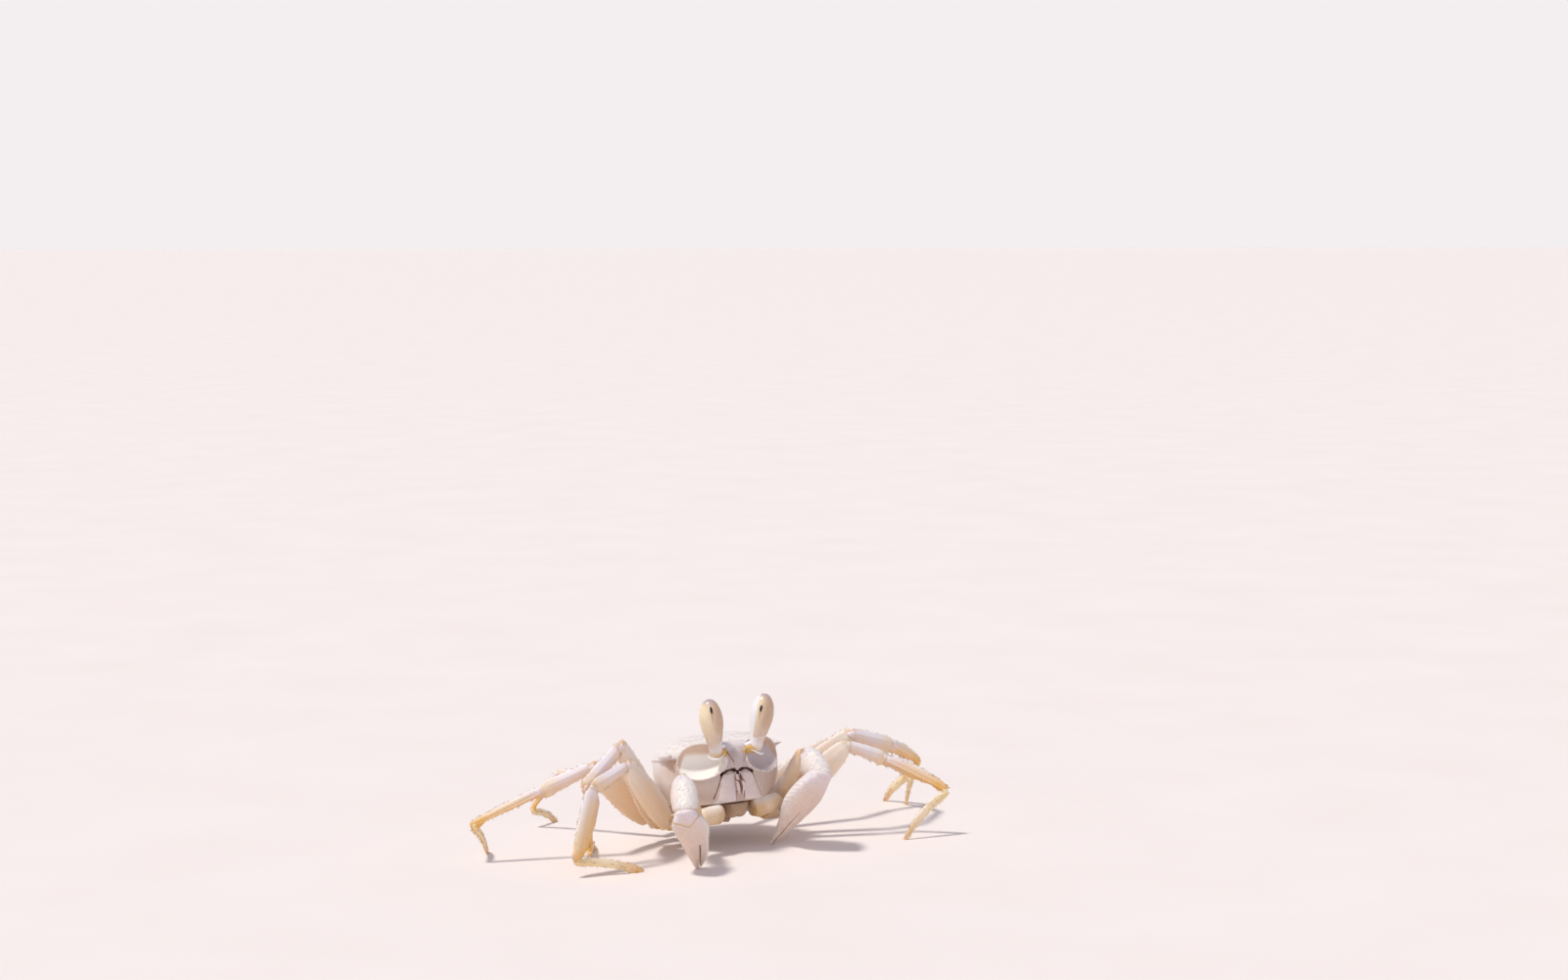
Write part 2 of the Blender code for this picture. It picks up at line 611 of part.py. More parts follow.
def make_hand(side, sign, at, direction, near, room, claw, crab):
    """Palm with its fixed finger, and the movable finger on its inner edge."""
    height = claw["height"]
    peak, split = HAND["peak"], HAND["split"]

    def rise_and_fall(t):
        """Two parts from 0 to 1: up to the peak, and from there to the tips."""
        return math.sin(math.pi / 2 * min(t / peak, 1.0)), max((t - peak) / (1.0 - peak), 0.0)

    def edge(t):
        """Half height of the closed hand."""
        rise, fall = rise_and_fall(t)
        leaf = (HAND["wrist"] + HAND["gain"] * rise) * (1.0 - fall ** HAND["droop"])
        return height * leaf + HAND["tip"] * t

    def middle(t):
        """Place of the gap between the fingers."""
        return height * HAND["grip"] * (1.0 - t)

    def width(t):
        rise, fall = rise_and_fall(t)
        fullness = HAND["wrist_width"] + (1.0 - HAND["wrist_width"]) * rise
        body = height * HAND["thick"] / 2 * fullness * (1.0 - fall ** HAND["width_droop"])
        return body + HAND["tip_half_width"] * fall

    towards = Vector((-sign, 0.0, HAND["lean"]))
    up = (towards - direction * towards.dot(direction)).normalized()
    up = Matrix.Rotation(math.radians(claw["roll"]), 3, direction) @ up
    across = direction.cross(up)
    first = GAP / 2 + room * HAND["wrist_room"]

    def ring_at(t, top, low, wide, lift=0.0):
        ring = []
        for i in range(CLAW_SIDES):
            angle = math.tau * i / CLAW_SIDES
            offset = up * ((top + low) / 2 + (top - low) / 2 * math.sin(angle))
            offset += across * wide * math.cos(angle)
            begin = (first - offset.dot(near)) / direction.dot(near)
            end = -(at.z - lift + offset.z) / direction.z
            ring.append(direction * (begin + (end - begin) * t) + offset)
        return ring

    palm = [ring_at(t, edge(t), -edge(t), width(t)) for t in (*PALM_STATIONS, split)]
    for t in FIXED_FINGER["stations"]:
        palm.append(ring_at(t, middle(t) - GAP / 2, -edge(t), width(t) * FIXED_FINGER["width"]))
    hand = loft("claw_%s_hand" % side, palm, crab, "claw")
    hand.location = at * MM

    blade = []
    for share in FREE_FINGER["stations"]:
        t = FREE_FINGER["start"] + (1.0 - FREE_FINGER["start"]) * share
        wide = width(t) * FREE_FINGER["width"]
        blade.append(ring_at(t, edge(t), middle(t) + GAP / 2, wide, FREE_FINGER["lift"]))
    finger = loft("claw_%s_finger" % side, blade, crab, "claw")
    finger.location = at * MM


def stand_over_origin(crab):
    """Move the crab so that the middle of its box is over the origin."""
    bpy.context.view_layer.update()
    low = Vector((1e9,) * 3)
    high = -low
    for piece in bpy.data.objects:
        if piece.type != "MESH" or piece.hide_render:
            continue
        for vertex in piece.data.vertices:
            point = piece.matrix_world @ vertex.co
            low = Vector(map(min, low, point))
            high = Vector(map(max, high, point))
    crab.location = (-(low.x + high.x) / 2, -(low.y + high.y) / 2, -low.z)


def main():
    for item in list(bpy.data.objects):
        bpy.data.objects.remove(item)

    crab = bpy.data.objects.new("crab", None)
    body = bpy.data.objects.new("body", None)
    for holder in (crab, body):
        bpy.context.collection.objects.link(holder)
    body.parent = crab
    body.location = (0, 0, BODY_HEIGHT * MM)
    body.rotation_euler = (math.radians(-BODY_PITCH), math.radians(BODY_ROLL), 0)

    shell = make_carapace(body)
    sternum = make_sternum(body)
    make_abdomen(body)
    seats = []
    for sign, side in ((-1, "right"), (1, "left")):
        make_maxilliped(sign, "maxilliped_" + side, body)
        mouth = make_maxilliped(sign, "mouth_guide", body, GAP)
        boolean(shell, mouth, "DIFFERENCE")
        make_eye(sign, side, body)
        make_claw(side, crab, seats)
        for number in LEGS:
            make_leg(side, number, crab, seats)
    for seat in seats:
        boolean(shell, seat, "DIFFERENCE")
        boolean(sternum, seat, "DIFFERENCE")
    stand_over_origin(crab)


main()
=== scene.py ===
import json
import math

import bmesh
import bpy
import numpy as np
from mathutils import Matrix, Vector

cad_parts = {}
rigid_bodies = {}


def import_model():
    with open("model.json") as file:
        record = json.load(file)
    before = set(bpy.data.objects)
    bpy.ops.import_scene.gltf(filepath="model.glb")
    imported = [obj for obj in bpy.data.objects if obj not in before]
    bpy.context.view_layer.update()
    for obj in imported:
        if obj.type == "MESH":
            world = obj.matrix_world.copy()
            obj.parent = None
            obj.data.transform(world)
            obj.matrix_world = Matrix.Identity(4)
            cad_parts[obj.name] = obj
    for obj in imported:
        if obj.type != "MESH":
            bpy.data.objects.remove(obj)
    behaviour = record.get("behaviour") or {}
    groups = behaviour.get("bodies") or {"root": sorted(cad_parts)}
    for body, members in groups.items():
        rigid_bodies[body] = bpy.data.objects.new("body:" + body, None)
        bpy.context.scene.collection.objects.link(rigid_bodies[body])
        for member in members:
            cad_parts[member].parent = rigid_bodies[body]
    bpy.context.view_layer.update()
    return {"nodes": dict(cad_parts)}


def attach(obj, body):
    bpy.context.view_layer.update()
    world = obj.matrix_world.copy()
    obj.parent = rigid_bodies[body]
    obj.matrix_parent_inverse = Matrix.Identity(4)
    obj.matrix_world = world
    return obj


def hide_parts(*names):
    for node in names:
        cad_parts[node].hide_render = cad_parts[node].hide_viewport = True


for stray in list(bpy.data.objects):
    bpy.data.objects.remove(stray)

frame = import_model()

mm = 0.001                  # shapes are worked out in millimetres and made in metres
rng = np.random.default_rng(11)
sides = (("right", -1), ("left", 1))


def rise(value, start, room):       # 0 up to start, 1 from start + room on
    return np.clip((value - start) / room, 0, 1)


def fall(value, end, room):         # 1 up to end - room, 0 from end on
    return np.clip((end - value) / room, 0, 1)


def bell(value, wide):              # 1 at nought, fading to both sides
    return np.exp(-(value / wide) ** 2)


def boxy(value, power):             # a sine or cosine that fills its corners as the power drops
    return np.sign(value) * np.abs(value) ** power


def around(count):                  # the angles of a ring's points
    return np.arange(count) * math.tau / count


def rgb(red, green, blue):          # a colour as seen, 0 to 255, turned into light
    values = []
    for part in (red, green, blue):
        part /= 255
        values.append(part / 12.92 if part <= 0.04045 else ((part + 0.055) / 1.055) ** 2.4)
    return (*values, 1.0)


# shader maths: a Wire is a node's output that can be added, multiplied and mixed
class Wire:
    def __init__(self, tree, socket=None):
        self.tree = tree
        self.socket = socket

    def make(self, kind, settings=None, sockets=None, out=0):
        node = self.tree.nodes.new(kind)
        for name, value in (settings or {}).items():
            setattr(node, name, value)
        for name, value in (sockets or {}).items():
            if isinstance(value, Wire):
                self.tree.links.new(value.socket, node.inputs[name])
            else:
                node.inputs[name].default_value = value
        return Wire(self.tree, node.outputs[out])

    def maths(self, operation, first, second):
        return self.make("ShaderNodeMath", {"operation": operation}, {0: first, 1: second})

    def __add__(self, other):
        return self.maths("ADD", self, other)

    def __radd__(self, other):
        return self.maths("ADD", other, self)

    def __sub__(self, other):
        return self.maths("SUBTRACT", self, other)

    def __rsub__(self, other):
        return self.maths("SUBTRACT", other, self)

    def __mul__(self, other):
        return self.maths("MULTIPLY", self, other)

    def __rmul__(self, other):
        return self.maths("MULTIPLY", other, self)

    def smooth(self, low, high):        # 0 at low, 1 at high
        return self.make("ShaderNodeMapRange", {"interpolation_type": "SMOOTHSTEP"},
                         {0: self, 1: low, 2: high, 3: 0.0, 4: 1.0})

    def blend(self, without, full):     # colours mixed by this wire
        return self.make("ShaderNodeMix", {"data_type": "RGBA"}, {0: self, 6: without, 7: full}, 2)

    def stretched(self, scale):         # a place stretched along its three axes
        return self.make("ShaderNodeVectorMath", {"operation": "MULTIPLY"}, {0: self, 1: scale})

    def noise(self, scale, detail=3.0, rough=0.5):
        return self.make("ShaderNodeTexNoise", {"noise_dimensions": "3D"},
                         {"Vector": self, "Scale": scale, "Detail": detail, "Roughness": rough})

    def cells(self, scale):
        return self.make("ShaderNodeTexVoronoi", {"feature": "F1"}, {"Vector": self, "Scale": scale})

    def mark(self, name, out=2):        # a number that the mesh carries, or with out 1 a place
        return self.make("ShaderNodeAttribute", {"attribute_name": name}, {}, out)


finishes = {}


def newFinish(key, steady):
    material = bpy.data.materials.new(key + "Finish")
    material.use_nodes = True
    finishes[key] = material
    shader = material.node_tree.nodes["Principled BSDF"]
    for socket, value in steady.items():
        shader.inputs[socket].default_value = value
    return Wire(material.node_tree), shader


def feed(node, wire, socket):
    wire.tree.links.new(wire.socket, node.inputs[socket])


def softness(weight, *depth):           # how far red, green and blue light goes in, in mm
    return {"Subsurface Weight": weight, "Subsurface Radius": [part * mm for part in depth]}


def layered(colour, *layers):           # each layer is a mask and the colour that it lays on
    for mask, over in layers:
        colour = mask.blend(colour, rgb(*over))
    return colour


def dress(shader, colour, rough, height=None, distance=0.0, strength=1.0):
    # height is the relief, and distance its depth in mm
    feed(shader, colour, "Base Color")
    feed(shader, rough, "Roughness")
    if height:
        sockets = {"Strength": strength, "Distance": distance * mm, "Height": height}
        feed(shader, height.make("ShaderNodeBump", {}, sockets), "Normal")


def shellFinish():
    tree, shader = newFinish("shell", softness(0.08, 1.6, 1.0, 0.7) | {"Specular IOR Level": 0.35})
    place, orbit, back, flank = (tree.mark("place", 1), tree.mark("orbit"), tree.mark("back"),
                                 tree.mark("flank"))
    mottle = place.noise(1.1, 5.0, 0.62).smooth(0.5, 0.68)
    speckle = place.cells(2.3).smooth(0.30, 0.12)
    colour = layered(
        place.noise(0.35, 4.0).blend(rgb(236, 228, 230), rgb(249, 244, 242)),
        (mottle * back * 0.4, (203, 178, 156)),
        (speckle * back * 0.4, (214, 196, 178)),
        (flank * 0.7, (252, 240, 232)),
        # painted shade: the forward-facing front below the back is darkened to a lavender tan
        (tree.mark("face") * 0.9, (198, 174, 160)),
        # faint painted shade below, on the flanks
        (tree.mark("low") * flank * 0.05, (206, 176, 150)),
        # the orbit's hollow painted near white: the shell's own white and painted sunlight on its floor
        (orbit * 0.9, (255, 252, 246)),
        # painted cool shade: the left orbit, a band high in each orbit and the middle of the front
        (tree.mark("coolShade") * 0.85, (190, 174, 184)),
        (tree.mark("shade") * 0.8, (208, 170, 142)),
        (tree.mark("crest") * 0.85, (254, 250, 245)),
        (tree.mark("groove").smooth(0.25, 0.95), (136, 76, 30)),
        # the mouth's slit painted near black, as the shade inside it
        (tree.mark("dark").smooth(0.15, 0.5), (58, 32, 22)))
    grain = place.cells(4.6).smooth(0.55, 0.05) * (1.0 - orbit * 0.9)
    fine = place.noise(9.0, 4.0, 0.6)
    dress(shader, colour, fine * 0.18 + 0.40 - orbit * 0.12, grain * 0.8 + fine * 0.3, 0.09, 0.75)


# colours near the body, mid and far; pale for wrinkles and painted top highlight; painted shade below; its
# strength
legColours = {
    "coxa": ((226, 196, 158), (230, 204, 170), (234, 210, 180), (246, 238, 232), (226, 184, 134), 0.4),
    "merus": ((240, 208, 174), (247, 222, 194), (249, 234, 222), (252, 248, 250), (246, 216, 176), 0.4),
    "carpus": ((240, 226, 222), (242, 232, 236), (244, 224, 200), (246, 242, 252), (232, 190, 130), 0.5),
    "propodus": ((242, 230, 230), (244, 216, 176), (240, 194, 112), (250, 246, 251), (232, 172, 84), 0.8),
    "dactylus": ((248, 222, 168), (250, 230, 196), (234, 196, 150), (252, 246, 236), (242, 204, 142),
                 0.35),
    # the arm's ochre near the body is partly its own colour and partly painted shade
    "arm": ((214, 178, 136), (238, 212, 178), (244, 222, 194), (252, 249, 250), (212, 170, 118), 0.3),
}


def legFinish(key, near, middle, far, pale, under, underShade):
    tree, shader = newFinish(key, softness(0.35, 2.6, 1.4, 0.6) | {"Specular IOR Level": 0.45})
    place = tree.mark("place", 1)
    drift = tree.mark("along") + (place.noise(0.5, 4.0) - 0.5) * 0.35
    wrinkle = place.stretched((3.2, 0.9, 0.9)).noise(1.3, 4.0, 0.6)
    colour = layered(
        drift.smooth(0.0, 0.5).blend(rgb(*near), rgb(*middle)),
        (drift.smooth(0.5, 1.0), far),
        (wrinkle.smooth(0.52, 0.75) * 0.45, pale),
        # painted shade and warm bounce light on the faces that turn down
        (tree.mark("low") * underShade, under),
        # painted highlight along the tops, fading towards the far end
        (tree.mark("edge") * (0.85 - drift.smooth(0.35, 0.95) * 0.6), pale),
        (place.cells(2.8).smooth(0.22, 0.08) * 0.3, (190, 148, 108)),
        (tree.mark("joint").smooth(0.5, 1.0) * 0.45, (222, 174, 92)))
    fine = place.noise(11.0, 3.0, 0.6)
    grain = place.cells(6.0).smooth(0.5, 0.05)
    dress(shader, colour, fine * 0.22 + 0.30, wrinkle * 0.8 + grain * 0.35 + fine * 0.15, 0.08, 0.7)


def clawFinish():
    tree, shader = newFinish("claw", softness(0.10, 1.6, 1.1, 0.8) | {"Specular IOR Level": 0.4})
    place = tree.mark("place", 1)
    colour = layered(
        place.noise(0.6, 4.0).blend(rgb(238, 224, 218), rgb(247, 239, 234)),
        # painted shade and warm bounce light on the faces that turn down
        (tree.mark("low") * 0.8, (226, 198, 180)),
        (place.noise(1.7, 5.0, 0.65).smooth(0.55, 0.75) * 0.35, (224, 194, 180)),
        # the hand's rims painted pale, and a painted highlight along the wrist's top
        (tree.mark("edge") * 0.7, (254, 251, 248)),
        (tree.mark("along").smooth(0.3, 0.02) * 0.45, (232, 224, 242)),
        (tree.mark("joint").smooth(0.3, 0.8) * 0.7, (214, 172, 98)))
    grain = place.cells(3.6).smooth(0.6, 0.05)
    fine = place.noise(12.0, 3.0, 0.6)
    dress(shader, colour, fine * 0.2 + 0.32, grain + fine * 0.25, 0.11, 0.8)


def mouthFinish():
    tree, shader = newFinish("mouth", softness(0.06, 1.2, 0.8, 0.6))
    place = tree.mark("place", 1)
    colour = layered(
        place.noise(0.9, 4.0).blend(rgb(222, 206, 202), rgb(236, 222, 218)),
        (place.noise(2.4, 5.0, 0.6).smooth(0.5, 0.75) * 0.3, (206, 180, 166)),
        (tree.mark("groove").smooth(0.2, 0.6), (140, 66, 22)))
    fine = place.noise(10.0, 3.0, 0.6)
    height = place.cells(4.5).smooth(0.5, 0.05) * 0.5 + fine * 0.4
    dress(shader, colour, fine * 0.15 + 0.38, height, 0.06, 0.7)


def shadedUnderFinish():
    tree, shader = newFinish("under", softness(0.06, 1.4, 0.8, 0.5))
    place = tree.mark("place", 1)
    # the underside's colours are darkened as painted shade beneath the body
    colour = layered(
        place.noise(0.6, 4.0).blend(rgb(164, 134, 106), rgb(186, 158, 132)),
        (tree.mark("groove").smooth(0.2, 0.9), (112, 74, 46)))
    fine = place.noise(8.0, 3.0, 0.6)
    dress(shader, colour, fine * 0.15 + 0.42, fine, 0.06, 0.6)


def corneaFinish():
    # facets, a grey-lavender cap and the dark spot that a ghost crab's eye shows
    tree, shader = newFinish("cornea", softness(0.12, 1.2, 0.8, 0.5)
                             | {"Coat Weight": 0.5, "Coat Roughness": 0.14})
    place, height = tree.mark("place", 1), tree.mark("along")
    drift = (place.noise(0.7, 3.0) - 0.5) * 0.35
    streak = place.stretched((3.0, 3.0, 0.3)).noise(1.5, 3.0, 0.6)
    colour = layered(
        # painted light and shade: one side of the cornea lighter, the other darker
        (tree.mark("side") + drift).smooth(0.2, 0.8).blend(rgb(248, 230, 196), rgb(206, 174, 146)),
        ((height + drift).smooth(0.45, 0.0) * 0.6, (226, 206, 192)),
        (height.smooth(0.86, 1.0) * 0.75, (178, 166, 176)),
        (streak.smooth(0.52, 0.75) * 0.35, (206, 168, 134)),
        (tree.mark("line") * 0.6, (138, 96, 66)),
        (tree.mark("spot").smooth(0.40, 0.70), (24, 18, 20)))
    facet = place.cells(13.0).smooth(0.5, 0.1)
    dress(shader, colour, place.noise(3.0, 2.0) * 0.08 + 0.22, facet, 0.02, 0.5)


def stalkFinish():
    tree, shader = newFinish("stalk", softness(0.15, 1.4, 1.0, 0.8))
    place = tree.mark("place", 1)
    colour = layered(
        place.noise(0.8, 4.0).blend(rgb(236, 236, 242), rgb(250, 249, 251)),
        (tree.mark("tan") * 0.75, (224, 202, 184)),
        (tree.mark("along").smooth(0.13, 0.0) * 0.7, (226, 190, 120)),
        (place.noise(3.0, 4.0).smooth(0.58, 0.72) * 0.3, (206, 196, 200)))
    fine = place.noise(9.0, 3.0)
    dress(shader, colour, fine * 0.15 + 0.26, fine, 0.04, 0.6)


def jointFinish():
    tree, shader = newFinish("joint", softness(0.3, 2.0, 1.0, 0.4))
    place = tree.mark("place", 1)
    colour = place.noise(1.4, 4.0).blend(rgb(196, 142, 66), rgb(238, 206, 138))
    folds = place.stretched((5.0, 1.0, 1.0)).noise(2.0, 3.0)
    dress(shader, colour, folds * 0.2 + 0.34, folds, 0.1, 0.8)


def hairFinish():
    tree, shader = newFinish("hair", softness(0.1, 1.0, 0.6, 0.3))
    along = tree.mark("along")
    share = (along + (tree.mark("place", 1).noise(1.5) - 0.5) * 0.4).smooth(0.0, 1.0)
    dress(shader, share.blend(rgb(150, 108, 62), rgb(226, 192, 138)), along * 0.1 + 0.4)


for makeFinish in (shellFinish, clawFinish, mouthFinish, shadedUnderFinish, corneaFinish, stalkFinish,
                   jointFinish, hairFinish):
    makeFinish()
for legPart, legShades in legColours.items():
    legFinish(legPart, *legShades)
print("finishes made:", len(finishes))


def newObject(name, data):
    thing = bpy.data.objects.new(name, data)
    bpy.context.collection.objects.link(thing)
    return thing


shadeBelow = {"from": 0.35, "room": 0.9}       # how far a face must turn down to be painted with shade below


def makePiece(name, points, faces, finish, replaced=(), marks=None):
    points = np.asarray(points, float)
    mesh = bpy.data.meshes.new(name)
    mesh.from_pydata((points * mm).tolist(), [], faces)
    for key, values in (marks or {}).items():
        values = np.asarray(values, np.float32)
        kind, field = ("FLOAT", "value") if values.ndim == 1 else ("FLOAT_VECTOR", "vector")
        mesh.attributes.new(key, kind, "POINT").data.foreach_set(field, values.ravel())
    mesh.materials.append(finishes[finish])
    mesh.shade_smooth()
    normals = np.empty(len(points) * 3, np.float32)
    mesh.vertex_normals.foreach_get("vector", normals)
    # low paints shade and warm bounce light on the faces that turn down
    low = fall(normals[2::3], shadeBelow["from"], shadeBelow["room"])
    mesh.attributes.new("low", "FLOAT", "POINT").data.foreach_set("value", low)
    piece = newObject(name, mesh)
    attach(piece, "root")
    if replaced:
        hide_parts(*replaced)
    return piece


def tubeFaces(rows, cols, points):
    # quads round a closed tube, with a fan to one more point at each end
    step = np.arange(rows - 1)[:, None] * cols
    here = np.arange(cols)[None, :]
    after = (here + 1) % cols
    quads = np.stack([step + here, step + after, step + cols + after, step + cols + here], -1)
    quads = quads.reshape(-1, 4)
    faces = quads.tolist()
    first, last = rows * cols, rows * cols + 1
    for i in range(cols):
        j = (i + 1) % cols
        faces.append([j, i, first])
        faces.append([(rows - 1) * cols + i, (rows - 1) * cols + j, last])
    a, b, c = (points[quads[:, k]] for k in (0, 1, 2))
    if np.einsum("ij,ij->i", a - points.mean(0), np.cross(b - a, c - a)).sum() < 0:
        faces = [face[::-1] for face in faces]
    return faces


def domed(grid, push, steps=4):
    # closes both ends of a tube with a low dome; push is one height, or one for each end
    rows = list(grid)
    heights = push if isinstance(push, tuple) else (push, push)
    for end, inner, height in ((0, 1, heights[0]), (-1, -2, heights[1])):
        ring = grid[end]
        centre = ring.mean(0)
        away = centre - grid[inner].mean(0)
        away = away / (np.linalg.norm(away) + 1e-9)
        extra = []
        for k in range(1, steps + 1):
            bend = math.pi / 2 * k / (steps + 1)
            extra.append(centre + (ring - centre) * math.cos(bend) + away * height * math.sin(bend))
        rows = extra[::-1] + rows if end == 0 else rows + extra
    return np.array(rows)


def withEnds(grid):                 # a tube's points, with one more in the middle of each end
    return np.vstack([grid.reshape(-1, 3), grid[0].mean(0), grid[-1].mean(0)])


def makeTube(name, grid, finish, replaced=(), marks=None):
    # a mark is a place or a number for each point, row or column, or one number for all
    rows, cols = grid.shape[:2]
    points = withEnds(grid)
    full = {}
    for key, values in (marks or {}).items():
        values = np.asarray(values, float)
        if values.ndim < 3:
            values = np.broadcast_to(values, (rows, cols))[..., None]
        ends = (values[0].mean(0), values[-1].mean(0))
        full[key] = np.squeeze(np.vstack([values.reshape(rows * cols, -1), *ends]))
    return makePiece(name, points, tubeFaces(rows, cols, points), finish, replaced, full)


def curveThrough(knots, values, at):
    # smooth curve through the values, whose slopes come from their neighbours
    knots = np.asarray(knots, float)
    values = np.asarray(values, float)
    slopes = np.gradient(values, knots, axis=0)
    at = np.clip(at, knots[0], knots[-1])
    k = np.clip(np.searchsorted(knots, at, side="right") - 1, 0, len(knots) - 2)
    gap = knots[k + 1] - knots[k]
    t = (at - knots[k]) / gap
    shape = (-1,) + (1,) * (values.ndim - 1)
    t, gap = t.reshape(shape), gap.reshape(shape)
    return ((2 * t**3 - 3 * t**2 + 1) * values[k] + (t**3 - 2 * t**2 + t) * gap * slopes[k]
            + (3 * t**2 - 2 * t**3) * values[k + 1] + (t**3 - t**2) * gap * slopes[k + 1])


def softened(line, steps=8):        # a smooth line through a few places
    at = np.linspace(0, len(line) - 1, steps * (len(line) - 1) + 1)
    return curveThrough(np.arange(len(line)), line, at)


def spreadOver(values, count):      # a few values spread evenly over count places
    return np.interp(np.linspace(0, len(values) - 1, count), np.arange(len(values)), values)


def heading(azimuth, elevation):
    a, e = math.radians(azimuth), math.radians(elevation)
    return np.array([math.cos(e) * math.cos(a), math.cos(e) * math.sin(a), math.sin(e)])


def unit(vector):
    return vector / (np.linalg.norm(vector, axis=-1, keepdims=True) + 1e-12)


def pointsOf(mesh):
    return np.array([v.co for v in mesh])


# how the body stands, and how far its back and its floor lie from its origin
bodyStance = {"pitch": 10.0, "roll": -1.5, "back": 10.8, "floor": -6.0}


def bodyAxes():
    # the body's own axes, and its origin worked out from the carapace node
    turn = (Matrix.Rotation(math.radians(bodyStance["roll"]), 3, "Y")
            @ Matrix.Rotation(math.radians(-bodyStance["pitch"]), 3, "X"))
    turn = np.array(turn)
    own = pointsOf(frame["nodes"]["carapace"].data.vertices) / mm @ turn
    middle = (own[:, 0].min() + own[:, 0].max()) / 2
    origin = np.array([middle, own[:, 1].max() - bodyStance["back"],
                       own[:, 2].min() - bodyStance["floor"]])
    return turn, turn @ origin


bodyTurn, bodyOrigin = bodyAxes()
print("body origin, mm:", np.round(bodyOrigin, 2))


def fromBody(points):
    return np.asarray(points, float) @ bodyTurn.T + bodyOrigin


def placedTube(name, grid, finish, replaced=(), marks=None, place=fromBody):
    # a tube given in the body's own axes, or in those that place puts where they belong
    points = place(grid.reshape(-1, 3)).reshape(grid.shape)
    return makeTube(name, points, finish, replaced, {"place": grid, **(marks or {})})


def ringsOf(node, start):
    # the node's rings of points in order, from the end nearest to start
    grid = bmesh.new()
    grid.from_mesh(frame["nodes"][node].data)
    bmesh.ops.remove_doubles(grid, verts=grid.verts[:], dist=0.001 * mm)
    grid.verts.index_update()
    grid.verts.ensure_lookup_table()
    number = grid.verts.layers.int.new("number")
    for vertex in grid.verts:
        vertex[number] = vertex.index
    flat = grid.copy()
    bmesh.ops.dissolve_limit(flat, angle_limit=math.radians(0.4), verts=flat.verts[:],
                             edges=flat.edges[:])
    layer = flat.verts.layers.int["number"]
    ends = sorted(flat.faces, key=lambda face: -len(face.verts))[:2]
    ends = [[v[layer] for v in face.verts] for face in ends]
    place = pointsOf(grid.verts) / mm
    ends.sort(key=lambda ring: np.linalg.norm(place[ring].mean(0) - start))
    rings = [ends[0]]
    seen = set(ends[0])
    while True:
        following = {edge.other_vert(grid.verts[i]).index
                     for i in rings[-1] for edge in grid.verts[i].link_edges} - seen
        if not following:
            break
        rings.append(sorted(following))
        seen |= following
    flat.free()
    grid.free()
    return rings, place


def limbRings(node, start):
    # each ring's points in order round the limb, and the limb's own axes
    rings, place = ringsOf(node, start)
    count = len(rings[0])
    if any(len(ring) != count for ring in rings):
        raise ValueError(node + " has uneven rings")
    centres = np.array([place[ring].mean(0) for ring in rings])
    along = unit(centres[-1] - centres[0])
    side = unit(np.cross(along, (0.0, 0.0, 1.0)))
    up = np.cross(side, along)
    ordered = []
    for ring, centre in zip(rings, centres):
        offset = place[ring] - centre
        u, v = offset @ side, offset @ up
        angle = np.arctan2(v / np.abs(v).max(), u / np.abs(u).max())
        order = np.argsort((angle + math.pi / count) % math.tau)
        ordered.append(place[ring][order])
    return np.array(ordered), along, side, up


def refined(rings, rows, cols):
    # more points round each ring from its harmonics, more rings along a smooth curve
    fine = np.fft.irfft(np.fft.rfft(rings, axis=1), n=cols, axis=1) * cols / rings.shape[1]
    knots = np.r_[0.0, np.cumsum(np.linalg.norm(np.diff(rings.mean(1), axis=0), axis=1))]
    knots /= knots[-1]
    at = np.linspace(0.0, 1.0, rows)
    return curveThrough(knots, fine, at), at


limbFacts = {"push": 0.1, "jointReach": 0.55, "edgePower": 2.2}


def shapedLimb(node, start, shape):
    rings, along, side, up = limbRings(node, start)
    grid, t = refined(rings, shape["rows"], shape["cols"])
    near, far = rings[0].mean(0), rings[-1].mean(0)
    length = np.linalg.norm(far - near)
    out = grid - grid.mean(1, keepdims=True)
    out -= (out @ along)[..., None] * along
    relief = shape["relief"](t[:, None], around(shape["cols"])[None, :], length, shape)
    grid = grid + unit(out) * relief[..., None]
    ends = (grid[0], grid[-1])
    grid = domed(grid, shape.get("push", limbFacts["push"]))
    fromStart = (grid - near) @ along
    offset = grid - grid.mean(1, keepdims=True)
    height = offset @ up
    room = np.minimum(fromStart, length - fromStart)
    joint = np.exp(-np.clip(room, 0, None) / limbFacts["jointReach"]) * shape.get("seam", 1.0)
    # the edge mark paints a highlight along the segment's top, as if lit from above
    upper = np.clip(height / (height.max(1, keepdims=True) + 1e-6), 0, 1)
    marks = {"place": np.stack([fromStart, offset @ side, height], -1), "joint": joint,
             "along": np.clip(fromStart / length, 0.0, 1.0),
             "edge": upper ** limbFacts["edgePower"] * shape["pale"]}
    return {"grid": grid, "marks": marks, "ends": ends, "along": along, "side": side, "far": far}


# joints: a sleeve that bends from one segment's end to the next, with soft skin inside the bend
sleeve = {"rows": 26, "cols": 44, "over": 0.12, "tuck": 0.30, "shrink": 0.10, "straight": 0.15,
          "round": 0.9, "seam": 0.10, "seamColour": 0.6, "softFrom": 0.2, "softGrowth": 1.3,
          "edgePower": 3, "along": 0.05}


